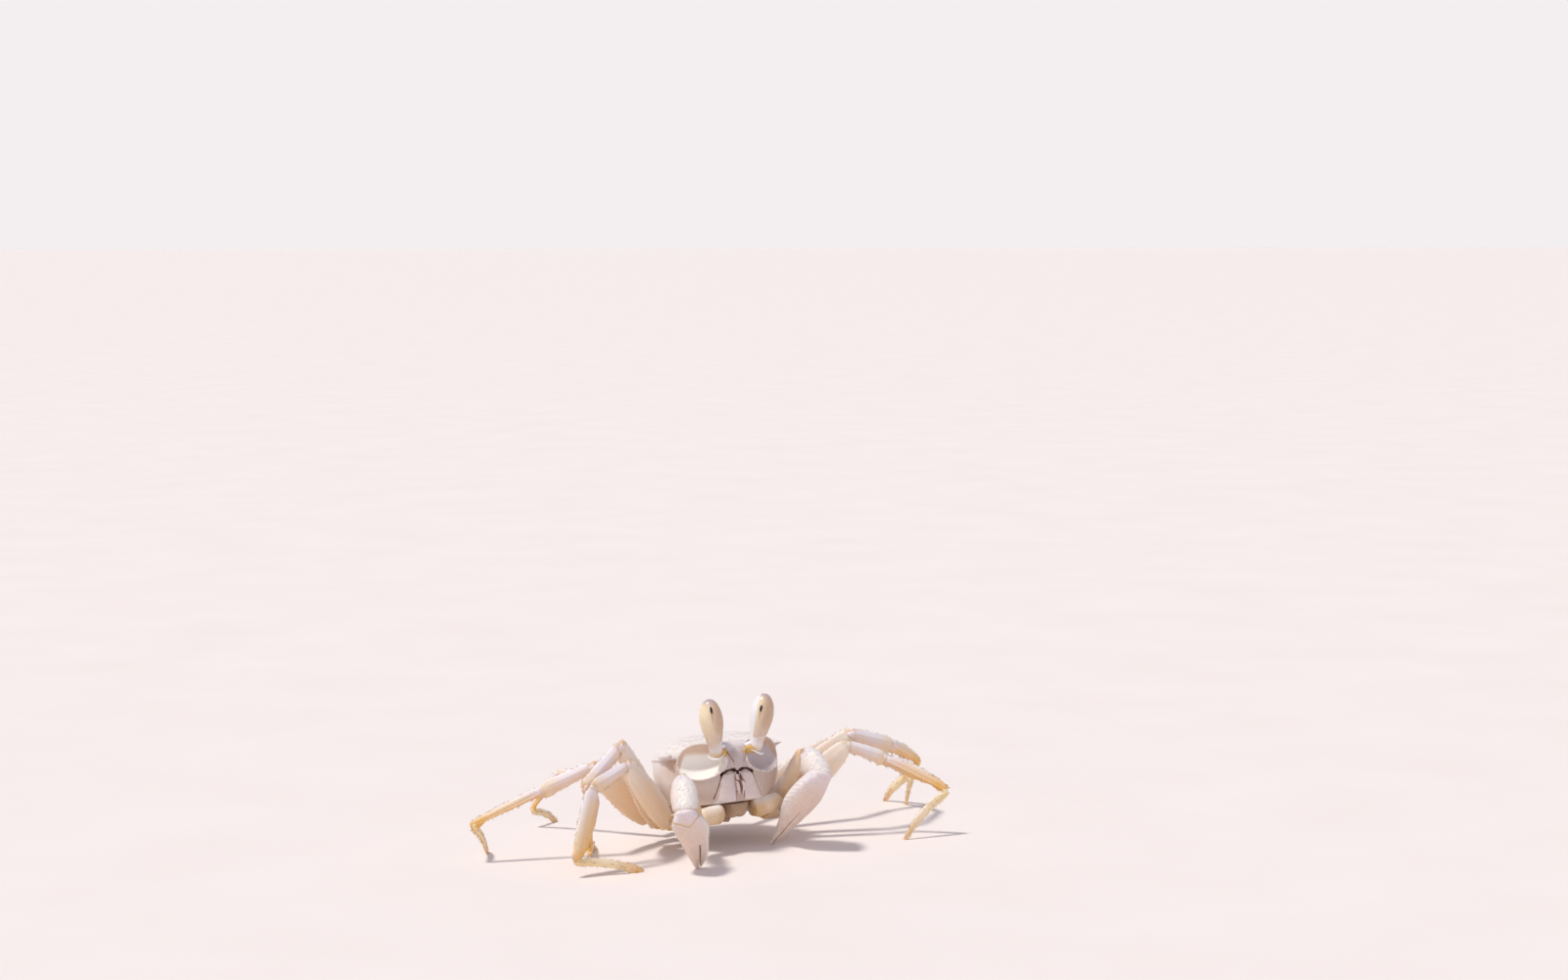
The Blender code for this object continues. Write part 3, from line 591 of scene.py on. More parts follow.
def makeJoint(name, first, second, shape):
    # first and second are the limbs that meet here
    ends = (first["ends"][1], second["ends"][0])
    axes = (first["along"], second["along"])
    hinge = np.cross(*axes)
    hinge = unit(hinge) if np.linalg.norm(hinge) > sleeve["straight"] else first["side"]
    sizes = []
    for ring, axis in zip(ends, axes):
        offset = ring - ring.mean(0)
        sizes.append((np.abs(offset @ hinge).max(), np.abs(offset @ np.cross(hinge, axis)).max()))
    sizes = np.array(sizes)
    centres = np.array([ring.mean(0) for ring in ends])
    bend = math.acos(float(np.clip(axes[0] @ axes[1], -1, 1)))
    a = around(sleeve["cols"])
    rows = []
    marks = {key: [] for key in ("place", "joint", "edge")}
    for t in np.linspace(-sleeve["over"], 1 + sleeve["over"], sleeve["rows"]):
        s = np.clip(t, 0, 1)
        turn = np.array(Matrix.Rotation(bend * s, 3, Vector(hinge)))
        axis = turn @ axes[0] if bend > sleeve["straight"] else unit(axes[0] * (1 - s) + axes[1] * s)
        beyond = (t - s) / sleeve["over"]
        wide, tall = (sizes[0] * (1 - s) + sizes[1] * s) * (1 - sleeve["shrink"] * abs(beyond))
        centre = centres[0] * (1 - s) + centres[1] * s + axis * beyond * sleeve["tuck"]
        u, v = wide * boxy(np.cos(a), sleeve["round"]), tall * np.sin(a)
        ring = centre + u[:, None] * hinge + v[:, None] * np.cross(hinge, axis)
        rows.append(ring)
        soft = np.clip(np.sin(a) * sleeve["softGrowth"] - sleeve["softFrom"], 0, 1) * min(bend, 1.0)
        seam = bell(min(s, 1 - s), sleeve["seam"]) * sleeve["seamColour"]
        marks["place"].append(np.stack([np.full(len(a), s * 2 + (t - s)), u, v], -1))
        marks["joint"].append(np.maximum(soft, seam))
        # the joint's top gets the same painted highlight
        lift = (ring - centre)[:, 2]
        upper = np.clip(lift / (np.abs(lift).max() + 1e-6), 0, 1)
        marks["edge"].append(upper ** sleeve["edgePower"] * shape["pale"])
    makeTube(name, np.array(rows), shape["finish"], marks={"along": sleeve["along"], **marks})


# relief in mm outwards: t runs along a segment and a round it, where a quarter turn is its top;
# facts is the segment's own dictionary, which holds the heights
def edges(a, power):
    return np.clip(np.sin(a), 0, 1) ** power, np.clip(-np.sin(a), 0, 1) ** power


def teethAlong(t, length, pitch=1):     # without a pitch, length is the number of teeth
    return np.clip(np.sin(math.tau * t * length / pitch), 0, 1) ** 2


def fade(t, room=0.08):
    return rise(t, 0, room) * fall(t, 1, room)


def linesAt(a, places, wide):       # lines along the segment, at places round it
    return sum(bell(a - place, wide) for place in places)


def coxaRelief(t, a, length, facts):
    top, low = edges(a, facts["power"])
    return fade(t) * (facts["edge"] * (top + low) + facts["waves"] * np.sin(a * facts["lobes"]))


def merusRelief(t, a, length, facts):
    top, low = edges(a, facts["power"])
    sharpTop, sharpLow = edges(a, facts["sharp"])
    hollow = bell(np.abs(np.sin(a)) - facts["hollowAt"], facts["hollowWide"])
    teeth = teethAlong(t, length, facts["pitch"])
    return fade(t) * (facts["edge"] * (top + low) - facts["hollow"] * hollow
                      + teeth * (facts["teeth"] * sharpTop + facts["lowTeeth"] * sharpLow))


def carpusRelief(t, a, length, facts):
    top, low = edges(a, facts["power"])
    sharpTop, _ = edges(a, facts["sharp"])
    lines = linesAt(a, (facts["lineAt"], math.pi - facts["lineAt"]), facts["lineWide"])
    return fade(t, facts["fade"]) * (facts["top"] * top + facts["low"] * low + facts["line"] * lines
                                     - facts["slim"] * np.clip(-np.sin(a), 0, 1)
                                     + facts["teeth"] * teethAlong(t, length, facts["pitch"]) * sharpTop)


def propodusRelief(t, a, length, facts):
    top, low = edges(a, facts["power"])
    above, aboveWide = facts["grooveAbove"]
    below, belowWide = facts["grooveBelow"]
    groove = (linesAt(a, (above, math.pi - above), aboveWide)
              + linesAt(a, (math.tau - below, math.pi + below), belowWide))
    slim = facts["slim"] * np.clip(-np.sin(a), 0, 1) + facts["thin"]
    return fade(t, facts["fade"]) * (facts["edge"] * (top + low) - facts["groove"] * groove - slim)


def dactylusRelief(t, a, length, facts):
    flutes = 0.5 + 0.5 * np.cos(a * facts["flutes"])
    return fade(t, facts["fade"]) * facts["depth"] * (flutes - 1) * (1 - facts["wane"] * t)


def ischiumRelief(t, a, length, facts):
    top, low = edges(a, facts["power"])
    return fade(t, facts["fade"]) * facts["edge"] * (top + low)


def armRelief(t, a, length, facts):
    # the claw's merus has three toothed edges
    rows = sum(bell((a - place + math.pi) % math.tau - math.pi, facts["edgeWide"])
               for place in facts["edgesAt"])
    return fade(t) * rows * (facts["edge"] + facts["teeth"] * teethAlong(t, length, facts["pitch"]))


def rounding(t, room):
    # 0 inside the segment, rising to 1 at its end
    return 1 - np.sqrt(1 - np.clip(1 - t / room, 0, 1) ** 2)


def wristRelief(t, a, length, facts):
    top, _ = edges(a, facts["power"])
    across, bend, along, twist = facts["grainWaves"]
    grains = np.sin(a * across + np.sin(t * bend)) * np.sin(t * along + np.sin(a * twist))
    nearRoom, farRoom = facts["roundRoom"]
    return (facts["swell"] * np.sin(math.pi * t ** facts["swellPower"])
            - facts["nearRound"] * rounding(t, nearRoom) + facts["widen"] * rise(t, *facts["widenAt"])
            - facts["farRound"] * rounding(1 - t, farRoom)
            + fade(t) * (facts["teeth"] * top * teethAlong(t, length, facts["pitch"])
                         + facts["grain"] * grains))


legSegments = {
    "coxa": {"relief": coxaRelief, "rows": 34, "cols": 40, "pale": 0.6, "edge": 0.06, "power": 6,
             "waves": 0.04, "lobes": 3},
    "merus": {"relief": merusRelief, "rows": 150, "cols": 64, "pale": 1.0, "edge": 0.10, "power": 10,
              "sharp": 70, "hollow": 0.10, "hollowAt": 0.62, "hollowWide": 0.18, "teeth": 0.10,
              "lowTeeth": 0.07, "pitch": 0.62},
    "carpus": {"relief": carpusRelief, "rows": 84, "cols": 52, "pale": 1.0, "top": 0.08, "low": 0.04,
               "power": 12, "sharp": 60, "line": 0.09, "lineAt": 0.5, "lineWide": 0.16, "slim": 0.45,
               "teeth": 0.08, "pitch": 0.6, "fade": 0.2},
    "propodus": {"relief": propodusRelief, "rows": 110, "cols": 52, "pale": 1.0, "edge": 0.08,
                 "power": 10, "groove": 0.10, "grooveAbove": (0.35, 0.14),
                 "grooveBelow": (0.45, 0.16), "slim": 0.85, "thin": 0.12, "fade": 0.12},
    "dactylus": {"relief": dactylusRelief, "rows": 90, "cols": 48, "pale": 0.7, "flutes": 6,
                 "depth": 0.05, "wane": 0.5, "fade": 0.15, "slot": "leg_tip"},
}
armSegments = {
    "ischium": {"relief": ischiumRelief, "rows": 50, "cols": 60, "pale": 1.0, "finish": "arm",
                "edge": 0.08, "power": 8, "fade": 0.12},
    "merus": {"relief": armRelief, "rows": 100, "cols": 96, "pale": 1.0, "finish": "arm",
              "edge": 0.16, "edgesAt": (math.pi / 2, 3.75, 5.7), "edgeWide": 0.13, "teeth": 0.14,
              "pitch": 0.75},
    "carpus": {"relief": wristRelief, "rows": 90, "cols": 96, "pale": 1.0, "finish": "claw",
               "push": 0.5, "seam": 0.4, "swell": 0.42, "swellPower": 0.8, "nearRound": 0.95,
               "farRound": 0.8, "roundRoom": (0.42, 0.16), "widen": 0.35, "widenAt": (0.5, 0.4),
               "power": 30, "teeth": 0.05, "pitch": 0.7, "grain": 0.02, "grainWaves": (14, 31, 52, 5)},
}
# the right first leg's propodus is broad: it isn't slimmed below and stands out all round
unlike = {"leg1_right_propodus": {"slim": 0.0, "thin": -0.30}}
limbs = {}


def makeChain(stem, start, segments):
    # a limb's segments from start outwards, with a joint before each but the first
    before = None
    for segment, shape in segments.items():
        node = stem + segment
        shape = {"finish": segment, **shape, **unlike.get(node, {})}
        limb = shapedLimb(node, start, shape)
        makeTube("skin_" + node, limb["grid"], shape["finish"], (node,),
                 limb["marks"])
        limbs[node] = limb
        if before:
            makeJoint("joint_" + node, before, limb, shape)
        before, start = limb, limb["far"]
    return before


for legSide, _ in sides:
    for legNumber in "1234":
        makeChain("leg%s_%s_" % (legNumber, legSide), bodyOrigin, legSegments)
print("legs made")


# claws: outer and inner are the hand's half heights from the wrist to the tip, at the places "at"
claws = {
    "right": {"slope": 0.0, "joint": 1.0, "cut": 0.85, "roll": 8.0, "hand": (43, -61), "thick": 1.85,
              "split": 0.50, "slit": (0.75, 0.0),
              "outer": (2.0, 2.8, 2.7, 2.2, 1.8, 1.35, 0.9, 0.55),
              "inner": (1.8, 3.0, 3.3, 2.95, 2.6, 2.2, 1.35, 0.5)},
    "left": {"slope": 0.35, "joint": 0.3, "cut": 0.5, "roll": -12.0, "hand": (120, -53), "thick": 2.0,
             "split": 0.45, "slit": (0.8, 0.05),
             "outer": (1.2, 2.5, 3.1, 2.9, 2.4, 1.8, 0.95, 0.35),
             "inner": (2.7, 3.7, 4.0, 3.4, 2.1, 1.3, 0.8, 0.45)},
}
handShape = {"at": (0.0, 0.15, 0.3, 0.45, 0.6, 0.75, 0.9, 1.0), "wristWidth": 1.05, "peak": 0.34,
             "widthDroop": 1.3, "tipHalfWidth": 0.3, "lean": 0.25, "gap": 0.34, "lift": 0.25,
             "ramp": 0.13, "arc": 40, "flat": 16, "round": 0.9, "palmRows": 220, "fingerRows": 160,
             "palmTeeth": 19, "palmTooth": 0.08, "cusps": 16, "cusp": 0.12, "fingerEdge": 0.04,
             "fingerScale": 0.985, "line": 0.24, "lineBend": (0.25, 1.1, 0.4, 1.5), "domeSteps": 7,
             "whole": 0.98, "cuspFrom": (0.65, 0.05), "gapGrowth": (0.4, 0.25, 0.6), "least": 0.05,
             "palmPush": (1.3, 0.2), "fingerPush": 0.1, "power": 24, "palmFade": 0.06,
             "fingerFade": 0.1, "fingerStart": 0.01, "edgePower": 6}
clawStart = (0.0, -9.0, -7.0)


def makeHand(sideName, sign, wrist):
    # palm with its fixed finger, and the free finger on the inner edge
    claw, h = claws[sideName], handShape
    node = "claw_%s_hand" % sideName
    ids, place = ringsOf(node, wrist["far"])
    ring = place[ids[0]]
    base = ring.mean(0)
    along = heading(*claw["hand"])
    _, _, turn = np.linalg.svd(ring - base)
    near = turn[2] * np.sign(turn[2] @ along)
    towards = np.array([-sign, 0.0, h["lean"]])
    up = unit(towards - along * (towards @ along))
    up = np.array(Matrix.Rotation(math.radians(claw["roll"]), 3, Vector(along)) @ Vector(up))
    across = np.cross(along, up)

    def inner(t):
        return curveThrough(h["at"], claw["inner"], t)

    def outer(t):
        return curveThrough(h["at"], claw["outer"], t)

    def slit(t):
        return np.interp(t, (claw["split"], 1.0), claw["slit"])

    def width(t):
        grown = np.sin(math.pi / 2 * np.minimum(t / h["peak"], 1.0))
        past = np.maximum((t - h["peak"]) / (1 - h["peak"]), 0.0)
        full = h["wristWidth"] + (1 - h["wristWidth"]) * grown
        return claw["thick"] * full * (1 - past ** h["widthDroop"]) + h["tipHalfWidth"] * past

    def angleOf(v, t):
        share = np.where(v >= 0, v / inner(t), v / outer(t))
        return np.arcsin(np.clip(share, -0.999, 0.999))[:, None]

    def handTube(name, t, low, high, scale, lift, relief, push):
        # the hand's whole outline, cut flat at low and at high
        over, under = inner(t)[:, None], outer(t)[:, None]
        start, stop = angleOf(low, t), angleOf(high, t)
        sweep = np.linspace(0, 1, h["arc"])[None, :]
        flat = np.linspace(1, -1, h["flat"] + 2)[None, 1:-1]
        turns = (start + (stop - start) * sweep, stop + 0 * flat,
                 math.pi - stop + (stop - start) * sweep, start + 0 * flat)
        shares = (1.0, flat, 1.0, -flat)
        u = np.concatenate([boxy(np.cos(a), h["round"]) * share for a, share in zip(turns, shares)], 1)
        a = np.concatenate(turns, 1)
        out = relief(t[:, None], a)
        v = np.sin(a)
        v = v * (np.where(v >= 0, over, under) * scale + out)
        u = u * (width(t)[:, None] * scale + out)
        cuts = np.zeros(u.shape)
        cuts[:, h["arc"]:h["arc"] + h["flat"]] = (high < inner(t) * h["whole"])[:, None]
        cuts[:, -h["flat"]:] = (low > -outer(t) * h["whole"])[:, None]
        offset = u[..., None] * across + v[..., None] * up
        begin = -(offset @ near) / (along @ near) - claw["slope"] * v
        end = -(base[2] - lift + offset[..., 2]) / along[2]
        reach = begin + (end - begin) * t[:, None]
        grid = base + reach[..., None] * along + offset
        grid[..., 2] = np.maximum(grid[..., 2], 0.0)
        # a bent joint line across the face just below the wrist
        foot, rising, middle, room = h["lineBend"]
        bend = foot + rising * np.clip(1 - np.abs(v * sign - middle) / room, 0, 1)
        line = bell(reach - bend, h["line"]) * claw["joint"]
        # the slit's cut faces carry the joint colour as painted shade
        marks = {"place": np.stack([reach, u, v], -1), "joint": np.maximum(cuts * claw["cut"], line),
                 "edge": np.clip(np.abs(v) / np.maximum(over, under), 0, 1) ** h["edgePower"],
                 "along": np.broadcast_to(t[:, None], u.shape)}
        extra = h["domeSteps"]
        grid = domed(grid, push, extra)
        grid[..., 2] = np.maximum(grid[..., 2], 0.0)
        marks = {key: np.pad(value, [(extra, extra)] + [(0, 0)] * (value.ndim - 1), mode="edge")
                 for key, value in marks.items()}
        makeTube("skin_" + name, grid, "claw", (name,), marks)

    def topOf(t):
        # where the palm ends and the free finger begins: a slope down to the slit
        step = rise(t, claw["split"] - h["ramp"] / 2, h["ramp"])
        return inner(t) + (slit(t) - inner(t)) * step

    def palmRelief(t, a):
        top, low = edges(a, h["power"])
        teeth = fade(t, h["palmFade"]) * h["palmTooth"] * teethAlong(t, h["palmTeeth"])
        return teeth * (low + top * (t < claw["split"]))

    def fingerRelief(t, a):
        top, _ = edges(a, h["power"])
        return h["fingerEdge"] * top * fade(t, h["fingerFade"])

    t = np.linspace(0.0, 1.0, h["palmRows"])
    cusps = teethAlong(t, h["cusps"]) * rise(t, *h["cuspFrom"])
    handTube(node, t, -outer(t), topOf(t) + h["cusp"] * cusps * (1 - t), 1.0, 0.0, palmRelief,
             h["palmPush"])
    t = np.linspace(claw["split"] - h["ramp"] / 2 + h["fingerStart"], 1.0, h["fingerRows"])
    begin, room, smallest = h["gapGrowth"]
    gap = h["gap"] * np.clip((t - begin) / room, smallest, 1)
    low = np.minimum(topOf(t) + gap, inner(t) - h["least"])
    handTube("claw_%s_finger" % sideName, t, low, inner(t), h["fingerScale"], h["lift"],
             fingerRelief, h["fingerPush"])


for clawSide, clawSign in sides:
    makeHand(clawSide, clawSign,
             makeChain("claw_%s_" % clawSide, fromBody(clawStart), armSegments))
print("claws made")


# carapace: rings of place along Y, half width, back height and flank depth; the swellings over the
# stomach, heart and gills are places across and along the back, with their size and height
shell = {
    "rings": ((10.8, 3.4, 1.2, 2.2), (9.8, 5.3, 3.2, 4.0), (7.6, 7.0, 4.7, 5.6),
              (4.2, 9.3, 5.6, 6.5), (0.6, 11.1, 5.9, 6.9), (-2.8, 11.4, 5.8, 7.0),
              (-5.2, 10.4, 5.5, 6.9), (-6.6, 9.5, 5.3, 6.7), (-7.8, 8.5, 5.1, 6.5),
              (-8.8, 6.9, 4.7, 6.3), (-9.6, 4.8, 4.3, 6.1), (-10.0, 2.4, 3.9, 5.9)),
    "rimShare": 0.4, "cols": 176, "rows": 110, "dome": (0.35, 5), "voxel": 0.12,
    "smoothing": 5, "smoothFactor": 0.5, "backLevel": (1, 1, 0.1),
    "backShape": (0.85, 0.94), "flankShape": (0.64, 0.95), "deepen": 1.12, "swell": 0.05,
    "swellings": ((0, -1.8, 2.6, 0.16), (0, 3.6, 2.0, 0.18), (6.4, 1.4, 4.2, 0.14),
                  (6.8, -4.6, 2.2, 0.12)),
}
orbit = {"centre": (7.1, -9.7, 1.6), "half": (4.9, 3.6, 2.95), "detail": (60, 96), "open": (1.06, 0.05),
         "rim": 1.07, "rimWide": 0.045, "rimHeight": 0.10, "rimFront": (-5.8, 0.6),
         "rimSide": (9.0, 0.8), "farRim": 0.35, "lowRim": 0.5, "rimTop": 1.0}
corner = {"edge": (2.55, 0.35), "foot": (-1.8, 4.0), "front": (-2.6, 2.2), "outside": (7.6, 1.0),
          "depth": 0.65}
socket = {"centre": (3.6, -9.9, 2.7), "radius": 1.7}
rostrum = {"halfWidth": 1.6, "narrowing": 0.25, "halfThick": 0.95, "root": (-8.2, 3.3),
           "reach": 2.1, "drop": 3.2, "bendBy": 1.25, "dropPower": 1.5, "dome": (0.3, 4)}
tooth = {"base": (10.1, -3.3, 2.9), "tip": (11.2, -6.2, 3.1), "radius": 1.6, "point": 0.1,
         "taper": 1.1, "flat": 0.6}
brow = {"line": ((2.0, -8.9, 4.0), (4.2, -8.6, 4.3), (6.6, -8.0, 4.5), (8.4, -7.0, 4.3),
                 (9.6, -6.2, 3.7), (10.2, -5.8, 3.1)),
        "rise": (0.1, 0.25, 0.5, 0.5, 0.2, 0.0), "wide": 1.1, "measure": (1, 0.8, 0.8)}
# where each shade begins or ends, in mm or as a share of the normal, and over how much it changes
shades = {"cheek": (-4.2, 1.6), "cheekTop": -0.9, "leftFrom": 0.5, "backFrom": 4, "upward": 0.3,
          "facing": (-0.35, 0.4), "face": (3.9, 1.2), "middle": 2.6, "lipFrom": -0.7,
          "roofDepth": 1.95, "roofOut": (8.2, 2, 1.3), "roofRoom": 0.7, "band": (1.3, 1.4),
          "centre": (-0.7, 0.4), "centreSide": 2.4, "centreFront": -9.0, "back": (2.0, 2.0),
          "backGrowth": 1.4, "flank": (1.6, 2.4), "marginWide": 0.3}
# how strong each shade or groove is, where 1 is full
strengths = {"cheekGroove": 0.75, "faceGroove": 0.8, "backGroove": 0.55, "lip": 0.7, "sideFace": 0.85,
             "hollow": 1.1, "farOrbitShade": 0.8, "band": 0.12, "centre": 0.35}

# lines raised or sunk in the shell: points, half width, height, mark that they leave
shellLines = (
    (((10.5, -5.2, 2.7), (11.4, -2.8, 2.5), (11.1, 0.6, 2.4), (10.0, 3.0, 2.2)), 0.20, 0.10, "crest"),
    (((2.9, -4.6, 6.0), (2.4, -2.2, 6.2), (2.8, 0.2, 6.2), (3.9, 1.6, 6.0)), 0.26, -0.16, "groove"),
    (((2.6, 0.6, 6.2), (1.3, 1.1, 6.2), (0.0, 1.2, 6.2)), 0.24, -0.13, "groove"),
    (((2.4, 1.3, 6.1), (2.1, 3.6, 5.9), (2.6, 5.8, 5.4), (4.0, 7.4, 4.6)), 0.26, -0.14, "groove"),
    (((2.9, -4.6, 6.0), (4.8, -5.0, 5.6), (6.6, -4.0, 5.4)), 0.30, -0.10, "groove"),
    (((1.6, -7.8, 4.5), (2.0, -6.0, 5.2), (1.8, -4.4, 5.7)), 0.20, -0.10, "groove"),
    (((1.8, -9.6, 3.4), (1.95, -10.2, 2.2), (1.75, -10.4, 1.0), (1.6, -10.4, 0.3)), 0.16, -0.14, "groove"),
    (((2.9, -10.0, -0.9), (3.3, -9.8, -2.0), (4.0, -9.6, -3.6), (4.8, -9.3, -5.2), (5.1, -9.1, -5.9)),
     0.17, -0.22, "groove"),
    (((3.0, -10.0, -0.9), (4.2, -9.9, -1.1), (5.4, -9.6, -1.7)), 0.12, -0.10, "groove"),
    (((5.2, -9.2, -5.9), (5.4, -9.4, -5.0), (4.7, -9.6, -4.2)), 0.16, -0.10, "groove"),
    (((6.2, -8.9, -5.8), (6.4, -9.0, -5.0), (5.8, -9.2, -4.6), (5.2, -9.3, -5.1)), 0.15, -0.10, "groove"),
    # the mouth's slit, sunk and painted near black as shade
    (((0.05, -10.4, -1.0), (0.7, -10.5, -0.52), (1.6, -10.5, -0.4), (2.4, -10.3, -0.62),
      (3.0, -10.0, -1.1)), 0.30, -0.55, "dark"),
    (((2.6, -10.0, 1.6), (2.8, -10.1, 0.4), (2.95, -10.05, -0.8)), 0.11, -0.12, "groove"),
)


def onSide(place, sign):            # a place of the crab's left, put on its right where sign is -1
    return np.array(place) * (sign, 1, 1)


def shellRing(y, half, top, bottom):
    a = around(shell["cols"])
    c, s = np.cos(a), np.sin(a)
    across, upward = shell["backShape"]
    flankAcross, flankUp = shell["flankShape"]
    x = half * boxy(c, np.where(s >= 0, across, flankAcross))
    x = x * np.where(s >= 0, 1.0, 1.0 + shell["swell"] * np.sin(math.pi * np.abs(s)))
    rim = top * shell["rimShare"]
    over = rim + (top - rim) * np.abs(s) ** upward
    under = rim - (bottom + rim) * shell["deepen"] * np.abs(s) ** flankUp
    z = np.where(s >= 0, over, np.maximum(under, bodyStance["floor"]))
    return np.stack([x, np.full(len(a), y), z], -1)


def ballGrid(centre, half, rows=40, cols=64):
    v = np.linspace(-0.995, 0.995, rows)[:, None] * math.pi / 2
    a = around(cols)[None, :]
    x, y, z = (np.cos(v) * np.cos(a), np.cos(v) * np.sin(a), np.sin(v) + 0 * a)
    return np.stack([x, y, z], -1) * np.asarray(half) + np.asarray(centre)


def rostrumGrid(rows=26, cols=40):
    rings = []
    a = around(cols)
    for t in np.linspace(0, 1, rows):
        bend = math.pi / 2 * min(t * rostrum["bendBy"], 1.0)
        half = rostrum["halfWidth"] * (1 - rostrum["narrowing"] * t)
        y = rostrum["root"][0] - rostrum["reach"] * math.sin(bend)
        z = rostrum["root"][1] - rostrum["drop"] * t ** rostrum["dropPower"]
        lift = np.sin(a) * rostrum["halfThick"]
        rings.append(np.stack([np.cos(a) * half, y - lift * math.sin(bend),
                               z + lift * math.cos(bend)], -1))
    return np.array(rings)


def toothGrid(sign, rows=16, cols=24):
    base, tip = onSide(tooth["base"], sign), onSide(tooth["tip"], sign)
    axis = unit(tip - base)
    across = unit(np.cross(axis, (0.0, 0.0, 1.0)))
    up = np.cross(across, axis)
    a = around(cols)[:, None]
    rings = []
    for t in np.linspace(0, 1, rows):
        size = tooth["radius"] * (1 - t) ** tooth["taper"] + tooth["point"]
        rings.append(base + (tip - base) * t + across * np.cos(a) * size
                     + up * np.sin(a) * size * tooth["flat"])
    return np.array(rings)


def guide(grid):
    # a closed shape that only helps to make the shell
    points = withEnds(grid)
    mesh = bpy.data.meshes.new("guide")
    mesh.from_pydata(points.tolist(), [], tubeFaces(*grid.shape[:2], points))
    piece = newObject("guide", mesh)
    piece.hide_render = True
    return piece


def joined(piece, grid, operation):
    modifier = piece.modifiers.new("joined", "BOOLEAN")
    modifier.operation = operation
    modifier.solver = "EXACT"
    modifier.object = guide(grid)


def nearestOn(points, line):
    # distance from each point to a line through several places
    best = np.full(len(points), 1e9)
    for a, b in zip(line, line[1:]):
        t = np.clip(((points - a) @ (b - a)) / ((b - a) @ (b - a)), 0, 1)
        best = np.minimum(best, np.linalg.norm(points - a - t[:, None] * (b - a), axis=1))
    return best


def shellSurface():
    # the plain shell with its orbits, sockets, teeth and rostrum, as points, normals and faces
    rings = np.array(shell["rings"])[::-1]
    spread = (1 - np.cos(np.linspace(0, math.pi, shell["rows"]))) / 2
    at = rings[0, 0] + (rings[-1, 0] - rings[0, 0]) * spread
    sizes = curveThrough(rings[:, 0], rings[:, 1:], at)
    uncut = guide(domed(np.array([shellRing(y, *row) for y, row in zip(at, sizes)]), *shell["dome"]))
    for _, sign in sides:
        hole = ballGrid(onSide(orbit["centre"], sign), orbit["half"], *orbit["detail"])
        joined(uncut, hole, "DIFFERENCE")
        joined(uncut, ballGrid(onSide(socket["centre"], sign), (socket["radius"],) * 3), "DIFFERENCE")
        joined(uncut, toothGrid(sign), "UNION")
    joined(uncut, domed(rostrumGrid(), *rostrum["dome"]), "UNION")
    remesh = uncut.modifiers.new("remesh", "REMESH")
    remesh.mode = "VOXEL"
    remesh.voxel_size = shell["voxel"]
    smooth = uncut.modifiers.new("smooth", "SMOOTH")
    smooth.factor = shell["smoothFactor"]
    smooth.iterations = shell["smoothing"]
    graph = bpy.context.evaluated_depsgraph_get()
    done = bpy.data.meshes.new_from_object(uncut.evaluated_get(graph))
    points, normals = np.empty((2, len(done.vertices) * 3))
    done.vertices.foreach_get("co", points)
    done.vertices.foreach_get("normal", normals)
    faces = [list(face.vertices) for face in done.polygons]
    for helper in [thing for thing in bpy.data.objects if thing.name.startswith("guide")]:
        bpy.data.objects.remove(helper)
    return points.reshape(-1, 3), normals.reshape(-1, 3), faces


